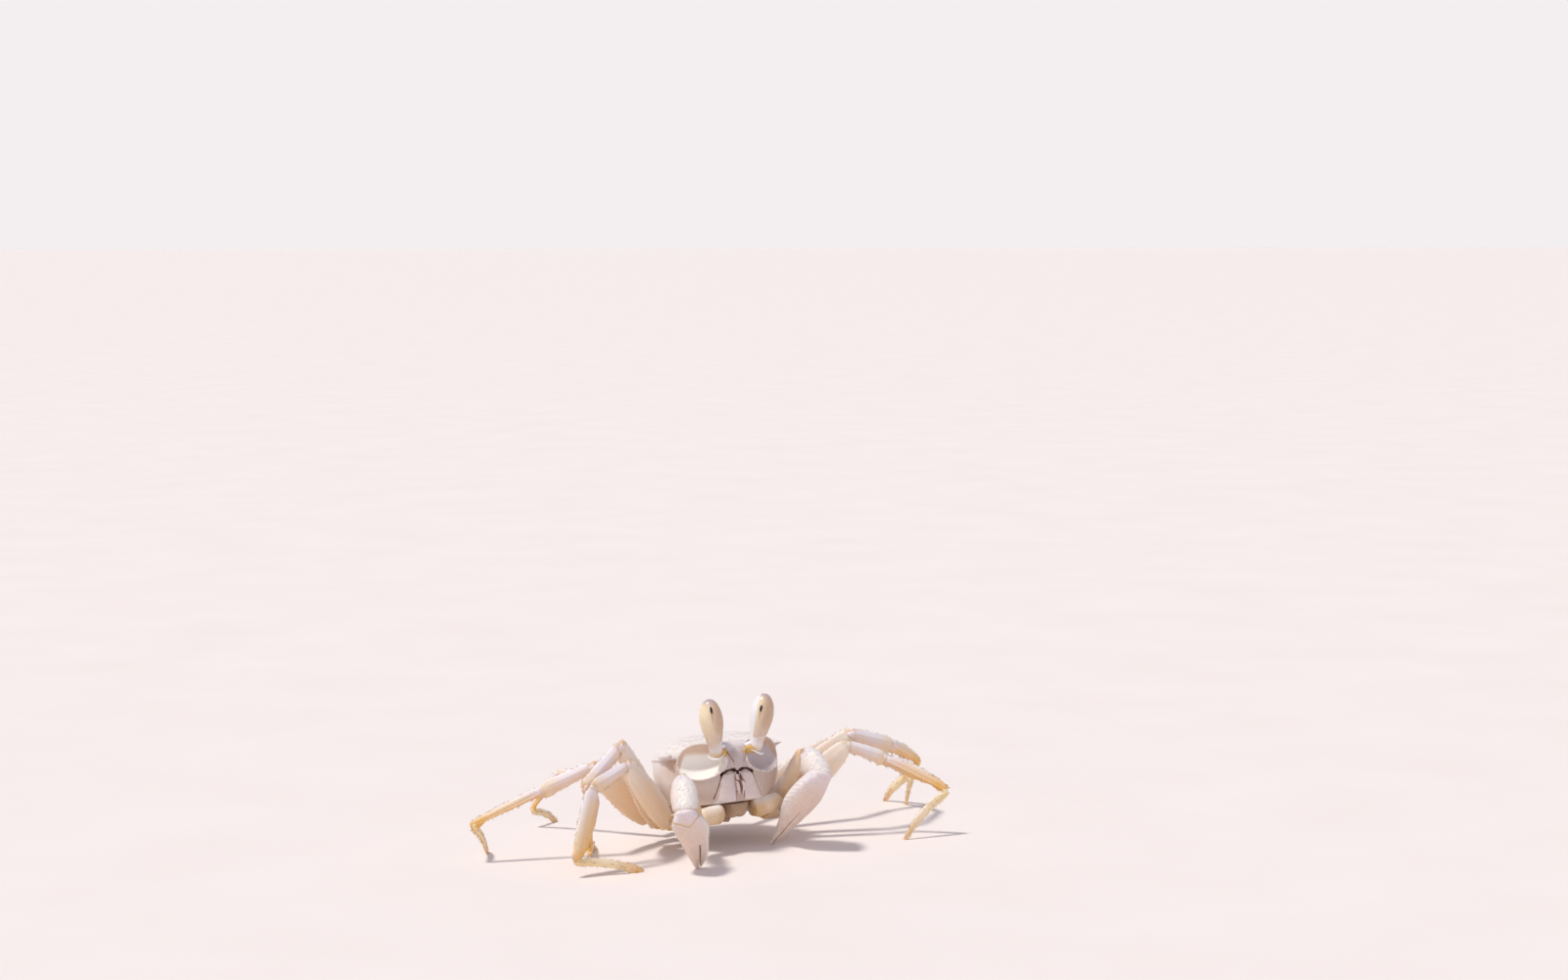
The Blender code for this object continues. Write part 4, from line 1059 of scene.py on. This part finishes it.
def makeCarapace():
    points, normals, faces = shellSurface()
    x, y, z = points.T
    side = np.abs(x)
    mirrored = np.stack([side, y, z], -1)
    lift = np.zeros(len(points))
    marks = {key: np.zeros(len(points)) for key in ("crest", "groove", "dark")}
    for line, wide, height, key in shellLines:
        onBack = min(place[2] for place in line) > shades["backFrom"]
        # lines on the back are drawn from above
        level = shell["backLevel"] if onBack else (1, 1, 1)
        near = bell(nearestOn(mirrored * level, softened(line) * level), wide)
        if onBack:
            near *= normals[:, 2] > shades["upward"]
        lift += near * height
        marks[key] = np.maximum(marks[key], near)

    # the brow over each orbit rises and thins to a rim
    browLine = softened(brow["line"])
    gaps = np.linalg.norm(mirrored[:, None, :] * brow["measure"] - browLine[None] * brow["measure"],
                          axis=2)
    raised = spreadOver(brow["rise"], len(browLine))[gaps.argmin(1)] * bell(gaps.min(1), brow["wide"])
    radial = np.linalg.norm((mirrored - orbit["centre"]) / orbit["half"], axis=1)
    inside = fall(radial, *orbit["open"])
    outside = 1 - inside
    rim = bell(radial - orbit["rim"], orbit["rimWide"]) * fall(y, *orbit["rimFront"])
    lift += rim * orbit["rimHeight"]
    # the rim is painted pale, dimmed as painted shade on the left orbit and low down
    pale = rim * np.where(x > 0, orbit["farRim"], 1.0) * np.where(z > orbit["rimTop"], 1.0, orbit["lowRim"])
    marks["crest"] = np.maximum(marks["crest"], pale * fall(side, *orbit["rimSide"]))

    # grooves are fainter on the left cheek and on the back, and stop at the orbit
    cheek = np.where(z < shades["cheekTop"], strengths["cheekGroove"] * rise(z, *shades["cheek"]),
                     strengths["faceGroove"])
    cheek = np.where(x > shades["leftFrom"], cheek, 1.0)
    faint = np.where(z > shades["backFrom"], strengths["backGroove"], cheek)
    marks["groove"] *= faint * outside
    # face marks painted shade on the surfaces that turn forward below the back, weaker in the upper middle
    # and to the sides
    middle = side < shades["middle"]
    face = np.where(z > shades["lipFrom"], strengths["lip"], 1.0)
    face = np.where(middle, face, strengths["sideFace"])
    marks["face"] = fall(normals[:, 1], *shades["facing"]) * fall(z, *shades["face"]) * outside * face

    # warm shade painted under the brow, and a hollow under the shell's edge at the front corner, sunk and
    # painted with the same shade
    above = np.interp(side, browLine[:, 0], browLine[:, 2])
    roofOut, roofRoom, roofGrowth = shades["roofOut"]
    under = shades["roofDepth"] + np.clip(side - roofOut, 0, roofRoom) * roofGrowth
    roof = inside * np.clip((z - above + under) / shades["roofRoom"], 0, 1)
    hollow = fall(z, *corner["edge"]) * rise(z, *corner["foot"])
    hollow *= fall(y, *corner["front"]) * outside * (1 - rim)
    hollow *= rise(side, *corner["outside"])
    lift -= corner["depth"] * hollow
    marks["shade"] = np.clip(roof + hollow * strengths["hollow"], 0, 1)
    # painted cool shade: the whole left orbit, a band high in each orbit and the middle of the front
    band = inside * rise(z, *shades["band"]) * (1 - roof)
    centre = rise(z, *shades["centre"]) * (side < shades["centreSide"]) * (y < shades["centreFront"])
    marks["coolShade"] = np.clip(inside * (x > 0) * strengths["farOrbitShade"] + band * strengths["band"]
                            + centre * strengths["centre"], 0, 1)

    back = np.clip(normals[:, 2] * shades["backGrowth"], 0, 1) * rise(z, *shades["back"])
    for across, along, size, height in shell["swellings"]:
        lift += height * np.exp(-((side - across) ** 2 + (y - along) ** 2) / size ** 2) * back
    marks |= {"orbit": inside, "back": back * outside, "flank": fall(z, *shades["flank"]) * outside,
              "place": points}
    margin = bell(nearestOn(mirrored, softened(shellLines[0][0])), shades["marginWide"])
    points = points + normals * lift[:, None]
    points[:, 2] += raised
    makePiece("skin_carapace", fromBody(points), faces, "shell", ("carapace",), marks)
    return {"points": points, "rim": rim, "margin": margin}


shellEdges = makeCarapace()
print("carapace made:", len(shellEdges["points"]), "points")


# eyes: values in pairs are the right eye's and the left eye's
eye = {"base": (3.8, -10.2, 2.5), "leanOut": (7.5, 13.0), "leanFront": 10.0, "stemRadius": 1.15,
       "length": 10.0, "radius": 2.05, "widest": 6.4, "foot": 0.8, "footShare": 0.8, "rows": 130,
       "cols": 104, "cutAzimuth": -33.0, "cutOffset": -0.72, "cutRoom": 0.16, "start": (2.2, 2.6),
       "startWave": 0.3, "startRoom": 0.2, "overlap": 0.6, "proud": 0.07, "sunk": 0.03,
       "spotTurn": (-107.0, -127.0), "spotHeight": (8.45, 7.5), "spotTall": 0.8, "spotWide": 0.31,
       "lineWide": 0.17, "lineRoom": 0.8, "lineEnd": (-2.4, 1.6), "tanSide": 1.2, "tanUp": (0.3, 1.6),
       "topPower": 8}
eyeRoot = {"inner": (1.6, -9.5, 2.3), "sizes": (0.7, 0.85, 1.0, 1.0), "arch": (0, 0, 0.35),
           "folds": 40, "foldDepth": 0.05, "flat": 0.9,
           "lobe": (2.7, -10.0, 3.75), "lobeHalf": (0.85, 0.6, 0.42), "lobeWave": 0.12,
           "lobeWaves": 2.3, "cup": 1.42, "cupSteps": 44, "cupThick": 0.15, "cupEnd": 0.12,
           "cupTurn": (35, -150), "cupHeight": 0.05, "cupSag": 0.45}


def eyeRadius(h):
    low, high, foot, widest = eye["stemRadius"], eye["radius"], eye["foot"], eye["widest"]
    t = rise(h, foot, widest - foot)
    share = eye["footShare"] + (1 - eye["footShare"]) * np.clip(h / foot, 0, 1)
    rising = low * share + (high - low) * t * t * (3 - 2 * t)
    u = rise(h, widest, eye["length"] - widest)
    return np.where(h < widest, rising, high * np.sqrt(np.clip(1 - u * u, 0.0, 1)))


def sweptTube(path, sizes, cols=28, squash=1.0):
    # rings of the given sizes along a path
    path = np.asarray(path, float)
    ahead = unit(np.gradient(path, axis=0))
    side = unit(np.cross(ahead, (0.05, 0.1, 1.0)))
    up = np.cross(side, ahead)
    a = around(cols)[None, :, None]
    sizes = np.broadcast_to(sizes, len(path))[:, None, None]
    return (path[:, None, :] + side[:, None, :] * (np.cos(a) * sizes)
            + up[:, None, :] * (np.sin(a) * sizes * squash))


def makeEyeRoot(sideName, sign, base, place):
    # the stalk's root reaches in under the front, beside a lobe, and a thin cup holds its foot
    arch = np.array(eyeRoot["arch"])
    t = np.linspace(0, 1, 24)[:, None]
    path = onSide(eyeRoot["inner"], sign) * (1 - t) + (base + arch) * t + arch * np.sin(t * math.pi)
    sizes = spreadOver(eyeRoot["sizes"], len(t))
    sizes = sizes * (1 + eyeRoot["foldDepth"] * np.cos(t[:, 0] * eyeRoot["folds"]))
    root = domed(sweptTube(path, sizes, 32, eyeRoot["flat"]), 0.5, 5)
    placedTube("root_" + sideName, root, "joint")
    white = {"along": 0.5, "tan": 0.0}
    lobe = ballGrid(onSide(eyeRoot["lobe"], sign), eyeRoot["lobeHalf"], 22, 30)
    lobe[..., 2] += eyeRoot["lobeWave"] * np.sin(lobe[..., 0] * eyeRoot["lobeWaves"])
    placedTube("lobe_" + sideName, lobe, "stalk", marks=white)
    steps, end = eyeRoot["cupSteps"], eyeRoot["cupEnd"]
    turn = np.radians(np.linspace(*eyeRoot["cupTurn"], steps))
    sag = eyeRoot["cupSag"] * np.sin(np.linspace(0, math.pi, steps)) ** 2
    ring = np.stack([sign * eyeRoot["cup"] * np.cos(turn), eyeRoot["cup"] * np.sin(turn),
                     eyeRoot["cupHeight"] - sag], -1)
    thick = eyeRoot["cupThick"] * np.sin(np.linspace(end, math.pi - end, steps)) ** 0.5
    placedTube("cup_" + sideName, sweptTube(ring, thick, 14), "stalk", marks=white,
               place=place)


def makeEye(sideName, sign):
    at = 0 if sign < 0 else 1
    turn = np.array(Matrix.Rotation(math.radians(eye["leanFront"]), 3, "X"))
    turn = np.array(Matrix.Rotation(math.radians(sign * eye["leanOut"][at]), 3, "Y")) @ turn
    base = onSide(eye["base"], sign)
    length, start = eye["length"], eye["start"][at]

    def place(points):
        return fromBody(points @ turn.T + base)

    h = length * np.sin(np.linspace(0, math.pi / 2, eye["rows"]))[:, None]
    a = around(eye["cols"])
    r = eyeRadius(h)
    flat = np.stack([r * np.cos(a), r * np.sin(a), h + 0 * a], -1)
    past = flat @ (heading(eye["cutAzimuth"], 0) * (sign, 1, 1)) - eye["cutOffset"]
    lower = (flat[..., 2] - start + eye["startWave"] * np.sin(a * 2)) / eye["startRoom"]
    cover = np.clip(np.minimum(past / eye["cutRoom"], lower), -1, 1)     # 1 where the cornea lies
    stalk = flat.copy()
    stalk[..., :2] *= (1 - eye["sunk"] * np.clip(cover, 0, 1))[..., None]
    placedTube("skin_eyestalk_" + sideName, stalk, "stalk", ("eyestalk_" + sideName,),
               {"along": h / length, "tan": rise(past, 0, eye["tanSide"]) * rise(h, *eye["tanUp"])},
               place)

    keep = h[:, 0] >= start - eye["overlap"]
    globe, cover = flat[keep], cover[keep]
    radius = np.linalg.norm(globe[..., :2], axis=-1, keepdims=True) + 1e-6
    globe[..., :2] *= 1 + (cover * eye["proud"])[..., None] / radius * np.clip(radius, 0, 1)
    globe[..., 2] += np.clip(cover, 0, 1) * eye["proud"] * (globe[..., 2] / length) ** eye["topPower"]
    watch = (bodyTurn @ turn).T @ heading(eye["spotTurn"][at], 0)
    watch = unit(watch * (1, 1, 0))
    across = globe @ np.cross((0, 0, 1), watch)
    ahead = globe @ watch > 0
    high = globe[..., 2] - eye["spotHeight"][at]
    spot = np.exp(-((across / eye["spotWide"]) ** 2 + (high / eye["spotTall"]) ** 2)) * ahead
    line = bell(across, eye["lineWide"]) * ahead * fall(high, 0, eye["lineRoom"])
    # side paints one side of the cornea light and the other dark, as painted light and shade
    placedTube("skin_cornea_" + sideName, globe, "cornea", ("cornea_" + sideName,),
               {"along": rise(globe[..., 2], start, length - start), "spot": spot,
                "line": line * rise(high, *eye["lineEnd"]),
                "side": np.clip(across / 2, -1, 1) * 0.5 + 0.5}, place)
    makeEyeRoot(sideName, sign, base, place)


for eyeSide, eyeSign in sides:
    makeEye(eyeSide, eyeSign)
print("eyes made")


# mouth plates, each with a crack low down, a seam across and a palp in front
mouth = {"rows": 96, "cols": 84, "top": -0.8, "bottom": -5.9, "inner": 0.25, "topOuter": 2.6,
         "bottomOuter": 4.8, "outPower": 0.8, "topRound": 0.5, "topRoom": 0.06, "thick": 1.0,
         "proud": 0.5, "sidePower": 0.3, "endPower": 8, "sunk": 0.16,
         "front": (-10.0, 0.05, 0.01, 3.0), "seam": -3.7, "slant": 0.35, "slantFrom": 1.5,
         "seamWide": 0.10,
         "seamColour": 0.3, "crackLevels": (-5.3, -4.7, -3.4, -1.2),
         "crackPlaces": (0.3, 0.65, 0.95, 0.95), "crackWide": 0.12, "crackTop": (-4.0, 0.3),
         "patchSide": (1.0, 0.3), "patchTop": (-3.9, 0.4), "patchColour": 0.9}
palp = {"path": ((0.45, -10.5, -1.3), (0.52, -10.75, -2.2), (0.48, -10.8, -3.4), (0.3, -10.6, -4.6)),
        "sizes": (0.3, 0.42, 0.38, 0.2), "cols": 20, "flat": 0.7, "waves": 25, "waveDepth": 0.08,
        "edge": (0.76, 0.15)}


def faceFront(x, z):                # how far forward the face lies
    front, sideways, upright, middle = mouth["front"]
    return front + sideways * x * x + upright * (z + middle) ** 2


def makePlate(sideName, sign):
    rows, cols = mouth["rows"], mouth["cols"]
    t = np.linspace(0, 1, rows)[:, None]
    z = mouth["top"] + (mouth["bottom"] - mouth["top"]) * t
    outer = mouth["topOuter"] + (mouth["bottomOuter"] - mouth["topOuter"]) * t ** mouth["outPower"]
    outer = outer - mouth["topRound"] * np.exp(-t / mouth["topRoom"])
    front = np.linspace(0, 1, cols * 2 // 3)
    rear = np.linspace(1, 0, cols - len(front) + 2)[1:-1]
    u = np.r_[front, rear]
    isFront = np.arange(cols) < len(front)
    x = mouth["inner"] + (outer - mouth["inner"]) * u
    z = np.broadcast_to(z, x.shape)
    seam = bell(z - mouth["seam"] - mouth["slant"] * (x - mouth["slantFrom"]), mouth["seamWide"])
    crack = bell(x - np.interp(z, mouth["crackLevels"], mouth["crackPlaces"]), mouth["crackWide"])
    crack = crack * fall(z, *mouth["crackTop"])
    patch = fall(x, *mouth["patchSide"]) * fall(z, *mouth["patchTop"]) * mouth["patchColour"]
    groove = np.maximum(seam * mouth["seamColour"], np.maximum(crack, patch)) * isFront
    ends = np.sqrt(np.clip(1 - (2 * t - 1) ** mouth["endPower"], 0.1, 1))
    bulge = np.clip(4 * u * (1 - u), 0, 1) ** mouth["sidePower"] * ends
    proud = mouth["proud"] * bulge - mouth["sunk"] * groove
    y = faceFront(x, z) - np.where(isFront, proud, mouth["proud"] - mouth["thick"])
    placedTube("skin_maxilliped_" + sideName, np.stack([sign * x, y, z], -1), "mouth",
               ("maxilliped_" + sideName,), {"groove": groove})


def makePalp(sideName, sign):
    path = softened(onSide(palp["path"], sign))
    sizes = spreadOver(palp["sizes"], len(path))
    sizes = sizes * (1 + palp["waveDepth"] * np.cos(np.linspace(0, palp["waves"], len(path))))
    grid = domed(sweptTube(path, sizes, palp["cols"], palp["flat"]), 0.1)
    placedTube("palp_" + sideName, grid, "mouth",
               marks={"groove": rise(np.abs(np.cos(around(palp["cols"]))), *palp["edge"])})


for mouthSide, mouthSign in sides:
    makePlate(mouthSide, mouthSign)
    makePalp(mouthSide, mouthSign)
print("mouth made")


# feelers beside the front
feeler = {"path": ((2.1, -9.8, 3.3), (1.85, -10.6, 2.7), (1.45, -10.95, 1.8), (1.0, -11.0, 0.9)),
          "sizes": (0.13, 0.10, 0.08, 0.05), "beads": 2.2, "beadDepth": 0.16,
          "stem": ((2.3, -9.7, 3.0), (2.1, -10.2, 3.15)), "stemSize": 0.26}


def makeFeeler(sideName, sign):
    path = softened(onSide(feeler["path"], sign), 14)
    sizes = spreadOver(feeler["sizes"], len(path))
    sizes = sizes * (1 + feeler["beadDepth"] * np.sign(np.sin(np.arange(len(path)) * feeler["beads"])))
    placedTube("feeler_" + sideName, domed(sweptTube(path, sizes, 12), 0.03), "hair",
               marks={"along": 0.0})
    path = softened(onSide(feeler["stem"], sign))
    placedTube("feelerStem_" + sideName, domed(sweptTube(path, feeler["stemSize"], 18), 0.1),
               "joint")


for feelerSide, feelerSign in sides:
    makeFeeler(feelerSide, feelerSign)
print("feelers made")


# underside: the sternum's rings are place along Y, half width and depth
stern = {"rings": ((-9.6, 1.6, 1.5), (-8.6, 2.0, 2.4), (-6.4, 2.4, 2.6), (-4.6, 4.6, 2.3),
                   (-1.0, 5.6, 2.1), (3.0, 5.2, 1.9), (6.6, 3.8, 1.6), (8.6, 2.4, 1.2)),
         "rows": 130, "cols": 96, "top": -6.3, "seams": (-7.6, -5.2, -2.2, 0.8, 3.8, 6.4),
         "seamWide": 0.11, "seamDepth": 0.22, "seamBend": 0.10, "channel": 0.25,
         "channelWide": 0.7, "square": (0.7, 0.75)}
tail = {"rows": 120, "cols": 60, "front": -4.0, "back": 9.4, "frontHalf": 0.9, "backHalf": 2.3,
        "thick": 0.9, "joints": 7, "jointWide": 0.07, "jointDepth": 0.16, "jointWaist": 0.06,
        "sunk": 0.3, "square": (0.75, 0.7), "outPower": 0.8, "firstJoint": 0.1, "point": (0.05, 0.35)}


def makeSternum():
    data = np.array(stern["rings"])
    y = np.linspace(data[0, 0], data[-1, 0], stern["rows"])
    half, depth = curveThrough(data[:, 0], data[:, 1:], y).T[:, :, None]
    y = y[:, None]
    a = around(stern["cols"])
    below = np.clip(-np.sin(a), 0, 1)
    x = half * boxy(np.cos(a), stern["square"][0])
    seams = sum(bell(y + stern["seamBend"] * np.abs(x) - place, stern["seamWide"])
                for place in stern["seams"])
    seams = np.clip(seams, 0, 1) * (below > 0.02)
    z = stern["top"] - depth * below ** stern["square"][1] + stern["seamDepth"] * seams
    z = z + stern["channel"] * bell(x, stern["channelWide"]) * (below > 0)
    placedTube("skin_sternum", np.stack([x, y + 0 * x, z], -1), "under", ("sternum",),
               {"groove": seams})


def makeAbdomen():
    data = np.array(stern["rings"])
    t = np.linspace(0, 1, tail["rows"])[:, None]
    y = tail["front"] + (tail["back"] - tail["front"]) * t
    half = tail["frontHalf"] + (tail["backHalf"] - tail["frontHalf"]) * t ** tail["outPower"]
    rings = bell((t * tail["joints"] + 0.5) % 1 - 0.5, tail["jointWide"])
    rings = rings * rise(t, 0, tail["firstJoint"])
    room, least = tail["point"]
    half = half * (1 - tail["jointWaist"] * rings) * np.clip(t / room, least, 1) ** 0.5
    a = around(tail["cols"])
    below = np.clip(-np.sin(a), 0, 1)
    x = half * boxy(np.cos(a), tail["square"][0])
    top = stern["top"] - tail["sunk"] - np.interp(y, data[:, 0], data[:, 2])
    z = top - (tail["thick"] - tail["jointDepth"] * rings) * below ** tail["square"][1]
    placedTube("skin_abdomen", np.stack([x, y + 0 * x, z], -1), "under", ("abdomen",),
               {"groove": rings * (below > 0)})


makeSternum()
makeAbdomen()
print("underside made")


# beads on the rims, and bristles in tufts along the limbs at the given angles round them
beads = {"rim": (150, 0.82), "margin": (110, 0.8), "claw": (90, 0.55), "size": (0.07, 0.13),
         "paleness": 0.6}
bristle = {"rings": 4, "perTuft": 3, "length": (0.25, 0.62), "thick": 0.019, "taper": 0.8,
           "patch": 0.003, "patchRoom": (0.002, 0.998), "droop": 0.22, "fall": (0, 0, 0.3),
           "outward": 0.75, "spread": 0.3, "scatter": 0.05, "sunk": 0.06, "floor": 0.02,
           "reach": (0.06, 0.97), "stray": 0.12}
bristleRows = {
    "merus": (50, (math.pi / 2, -math.pi / 2)),
    "carpus": (30, (math.pi / 2, -math.pi / 2)),
    "propodus": (90, (math.pi / 2, 1.2, -math.pi / 2, -1.2)),
    "dactylus": (110, (0.0, 1.05, 2.1, math.pi, 4.2, 5.25)),
}


def makeBeads(name, centres, kind):
    ball = bmesh.new()
    bmesh.ops.create_icosphere(ball, subdivisions=2, radius=1.0)
    shape = pointsOf(ball.verts)
    cells = np.array([[v.index for v in face.verts] for face in ball.faces])
    ball.free()
    sizes = rng.uniform(*beads["size"], len(centres))[:, None, None]
    points = (centres[:, None, :] + shape[None] * sizes).reshape(-1, 3)
    faces = cells[None] + np.arange(len(centres))[:, None, None] * len(shape)
    pale = np.full(len(points), beads["paleness"])
    makePiece(name, points, faces.reshape(-1, 3).tolist(), kind,
              marks={"place": points, "crest": pale, "edge": pale})


def scattered(count, wanted):
    # random picks out of the points that are wanted
    found = np.flatnonzero(wanted)
    return rng.choice(found, min(count, len(found)), replace=False)


def makeBristles(name, roots, out, ahead, unwrap):
    # three-sided cones bent along the lie of the coat; unwrap is each tuft's place on its skin
    b = bristle
    ids = np.repeat(np.arange(len(roots)), b["perTuft"])
    total = len(ids)
    aim = (out[ids] + ahead[ids]) * b["outward"] + rng.normal(0, b["spread"], (total, 3))
    aim = unit(aim)
    reach = rng.uniform(*b["length"], total)[:, None]
    roots = roots[ids] + rng.normal(0, b["scatter"], (total, 3)) - aim * b["sunk"]
    side = unit(np.cross(aim, (0.31, 0.17, 0.93)))
    up = np.cross(aim, side)
    rings = b["rings"]
    cell = rings * 3 + 1                # points of one bristle, with its tip last
    points = np.empty((total, cell, 3))
    for k in range(rings + 1):
        t = k / rings
        droop = (ahead[ids] - b["fall"]) * b["droop"] * t * t
        centre = roots + (aim * t + droop) * reach
        size = b["thick"] * (1 - b["taper"] * t)
        for j in range(3 if k < rings else 1):
            a = math.tau * j / 3
            arm = side * math.cos(a) + up * math.sin(a)
            points[:, k * 3 + j] = centre + arm * size if k < rings else centre
    points[..., 2] = np.maximum(points[..., 2], b["floor"])      # none goes into the floor
    faces = [[2, 1, 0]]
    for k in range(0, cell - 1, 3):
        for j in range(3):
            here, after = k + j, k + (j + 1) % 3
            faces.append([here, after, after + 3, here + 3] if k < cell - 4 else [here, after, cell - 1])
    everyFace = [[i * cell + v for v in face] for i in range(total) for face in faces]
    points = points.reshape(-1, 3)
    along = np.tile(np.arange(cell) // 3 / rings, total)
    piece = makePiece(name, points, everyFace, "hair", marks={"place": points, "along": along})
    mesh = piece.data
    vertex = np.empty(len(mesh.loops), np.int32)
    mesh.loops.foreach_get("vertex_index", vertex)
    within = vertex % cell
    shift = np.stack([np.cos(within % 3 * math.tau / 3), within / cell * 2 - 1], -1) * b["patch"] / 2
    patch = np.clip(unwrap[ids][vertex // cell] + shift, *b["patchRoom"]).astype(np.float32)
    mesh.uv_layers.new(name="OFBake").data.foreach_set("uv", patch.ravel())


def makeCoat(leg):
    parts = []
    for at, (segment, (tufts, angles)) in enumerate(bristleRows.items()):
        limb = limbs[leg + "_" + segment]
        grid = limb["grid"]
        rows, cols = grid.shape[:2]
        row = (rng.uniform(*bristle["reach"], tufts) * (rows - 1)).astype(int)
        a = rng.choice(angles, tufts) + rng.normal(0, bristle["stray"], tufts)
        col = np.round(a / math.tau * cols).astype(int) % cols
        roots = grid[row, col]
        out = unit(roots - grid.mean(1)[row])
        unwrap = np.stack([(col / cols + at) / len(bristleRows), row / rows], -1)
        parts.append((roots, out, np.broadcast_to(limb["along"], out.shape), unwrap))
    makeBristles("coat_" + leg, *(np.vstack(kind) for kind in zip(*parts)))


def makeTrim(sideName, sign):
    body = shellEdges["points"]
    here = body[:, 0] * sign > 0
    centres = []
    for key in ("rim", "margin"):
        count, least = beads[key]
        centres.append(body[scattered(count, (shellEdges[key] > least) & here)])
    makeBeads("beads_" + sideName, fromBody(np.vstack(centres)), "shell")
    wrist = limbs["claw_%s_carpus" % sideName]
    top = wrist["marks"]["place"][..., 2].ravel()
    count, least = beads["claw"]
    picks = scattered(count, top > least * top.max())
    makeBeads("beads_claw_" + sideName, wrist["grid"].reshape(-1, 3)[picks], "claw")


for coatSide, _ in sides:
    for coatNumber in "1234":
        makeCoat("leg%s_%s" % (coatNumber, coatSide))
for trimSide, trimSign in sides:
    makeTrim(trimSide, trimSign)
print("beads and bristles made")


# floor and light; a lamp's turn is measured from the front of the crab, towards its left
stage = {"size": 60.0, "light": (246, 240, 240), "dark": (240, 233, 232), "grain": 30.0,
         "roughness": 0.9}
lights = {
    "key": {"turn": -98.0, "height": 66.0, "strength": 2.2, "angle": 8.0, "colour": (255, 249, 238)},
    "front": {"turn": -20.0, "height": 38.0, "strength": 0.2, "angle": 60.0, "colour": (240, 238, 255)},
}
sky = {"high": (226, 224, 238), "low": (243, 239, 241), "highStrength": 0.46, "lowStrength": 1.0,
       "from": 0.10, "to": 0.42}


def makeStage():
    tree, shader = newFinish("floor", {"Roughness": stage["roughness"]})
    place = tree.make("ShaderNodeTexCoord", out=3)              # the object's own place
    colour = place.noise(stage["grain"], 2.0).blend(rgb(*stage["dark"]), rgb(*stage["light"]))
    feed(shader, colour, "Base Color")
    half = stage["size"] / 2
    mesh = bpy.data.meshes.new("floor")
    corners = [(-half, -half, 0), (half, -half, 0), (half, half, 0), (-half, half, 0)]
    mesh.from_pydata(corners, [], [(0, 1, 2, 3)])
    mesh.materials.append(finishes["floor"])
    floor = newObject("floor", mesh)


def makeLights():
    for name, facts in lights.items():
        data = bpy.data.lights.new(name, "SUN")
        data.energy = facts["strength"]
        data.angle = math.radians(facts["angle"])
        data.color = rgb(*facts["colour"])[:3]
        lamp = newObject(name, data)
        source = heading(facts["turn"] - 90, facts["height"])
        lamp.rotation_euler = Vector(-source).to_track_quat("-Z", "Y").to_euler()


def makeSky():
    world = bpy.data.worlds.new("paleSky")
    world.use_nodes = True
    tree = Wire(world.node_tree)
    place = tree.make("ShaderNodeTexCoord")
    height = tree.make("ShaderNodeSeparateXYZ", {}, {0: place}, 2)
    share = tree.make("ShaderNodeMapRange", {}, {0: height, 1: sky["from"], 2: sky["to"]})
    low, high = ([part * sky[key + "Strength"] for part in rgb(*sky[key])[:3]] + [1.0]
                 for key in ("low", "high"))
    feed(world.node_tree.nodes["Background"], share.blend(low, high), "Color")
    bpy.context.scene.world = world
    bpy.context.scene.view_settings.view_transform = "Standard"


# camera: it looks past the body's origin, from distance before it and height over the floor
viewpoint = {"turn": -28.0, "distance": 458.0, "across": -12.8, "height": 106.5, "down": 5.46,
             "lens": 60.0, "sensor": 36.0, "reach": (0.01, 200.0)}


def makeCamera():
    v = viewpoint
    turn = math.radians(v["turn"])
    ahead = np.array([-math.sin(turn), math.cos(turn), 0.0])
    right = np.array([math.cos(turn), math.sin(turn), 0.0])
    ground = np.array([bodyOrigin[0], bodyOrigin[1], 0.0])
    place = ground - ahead * v["distance"] - right * v["across"] + (0, 0, v["height"])
    data = bpy.data.cameras.new("camera")
    data.lens = v["lens"]
    data.sensor_width = v["sensor"]
    data.clip_start, data.clip_end = v["reach"]
    camera = newObject("camera", data)
    camera.location = place * mm
    camera.rotation_euler = (math.radians(90 - v["down"]), 0, turn)
    bpy.context.scene.camera = camera


makeStage()
makeLights()
makeSky()
makeCamera()
print("stage, lights and camera made")
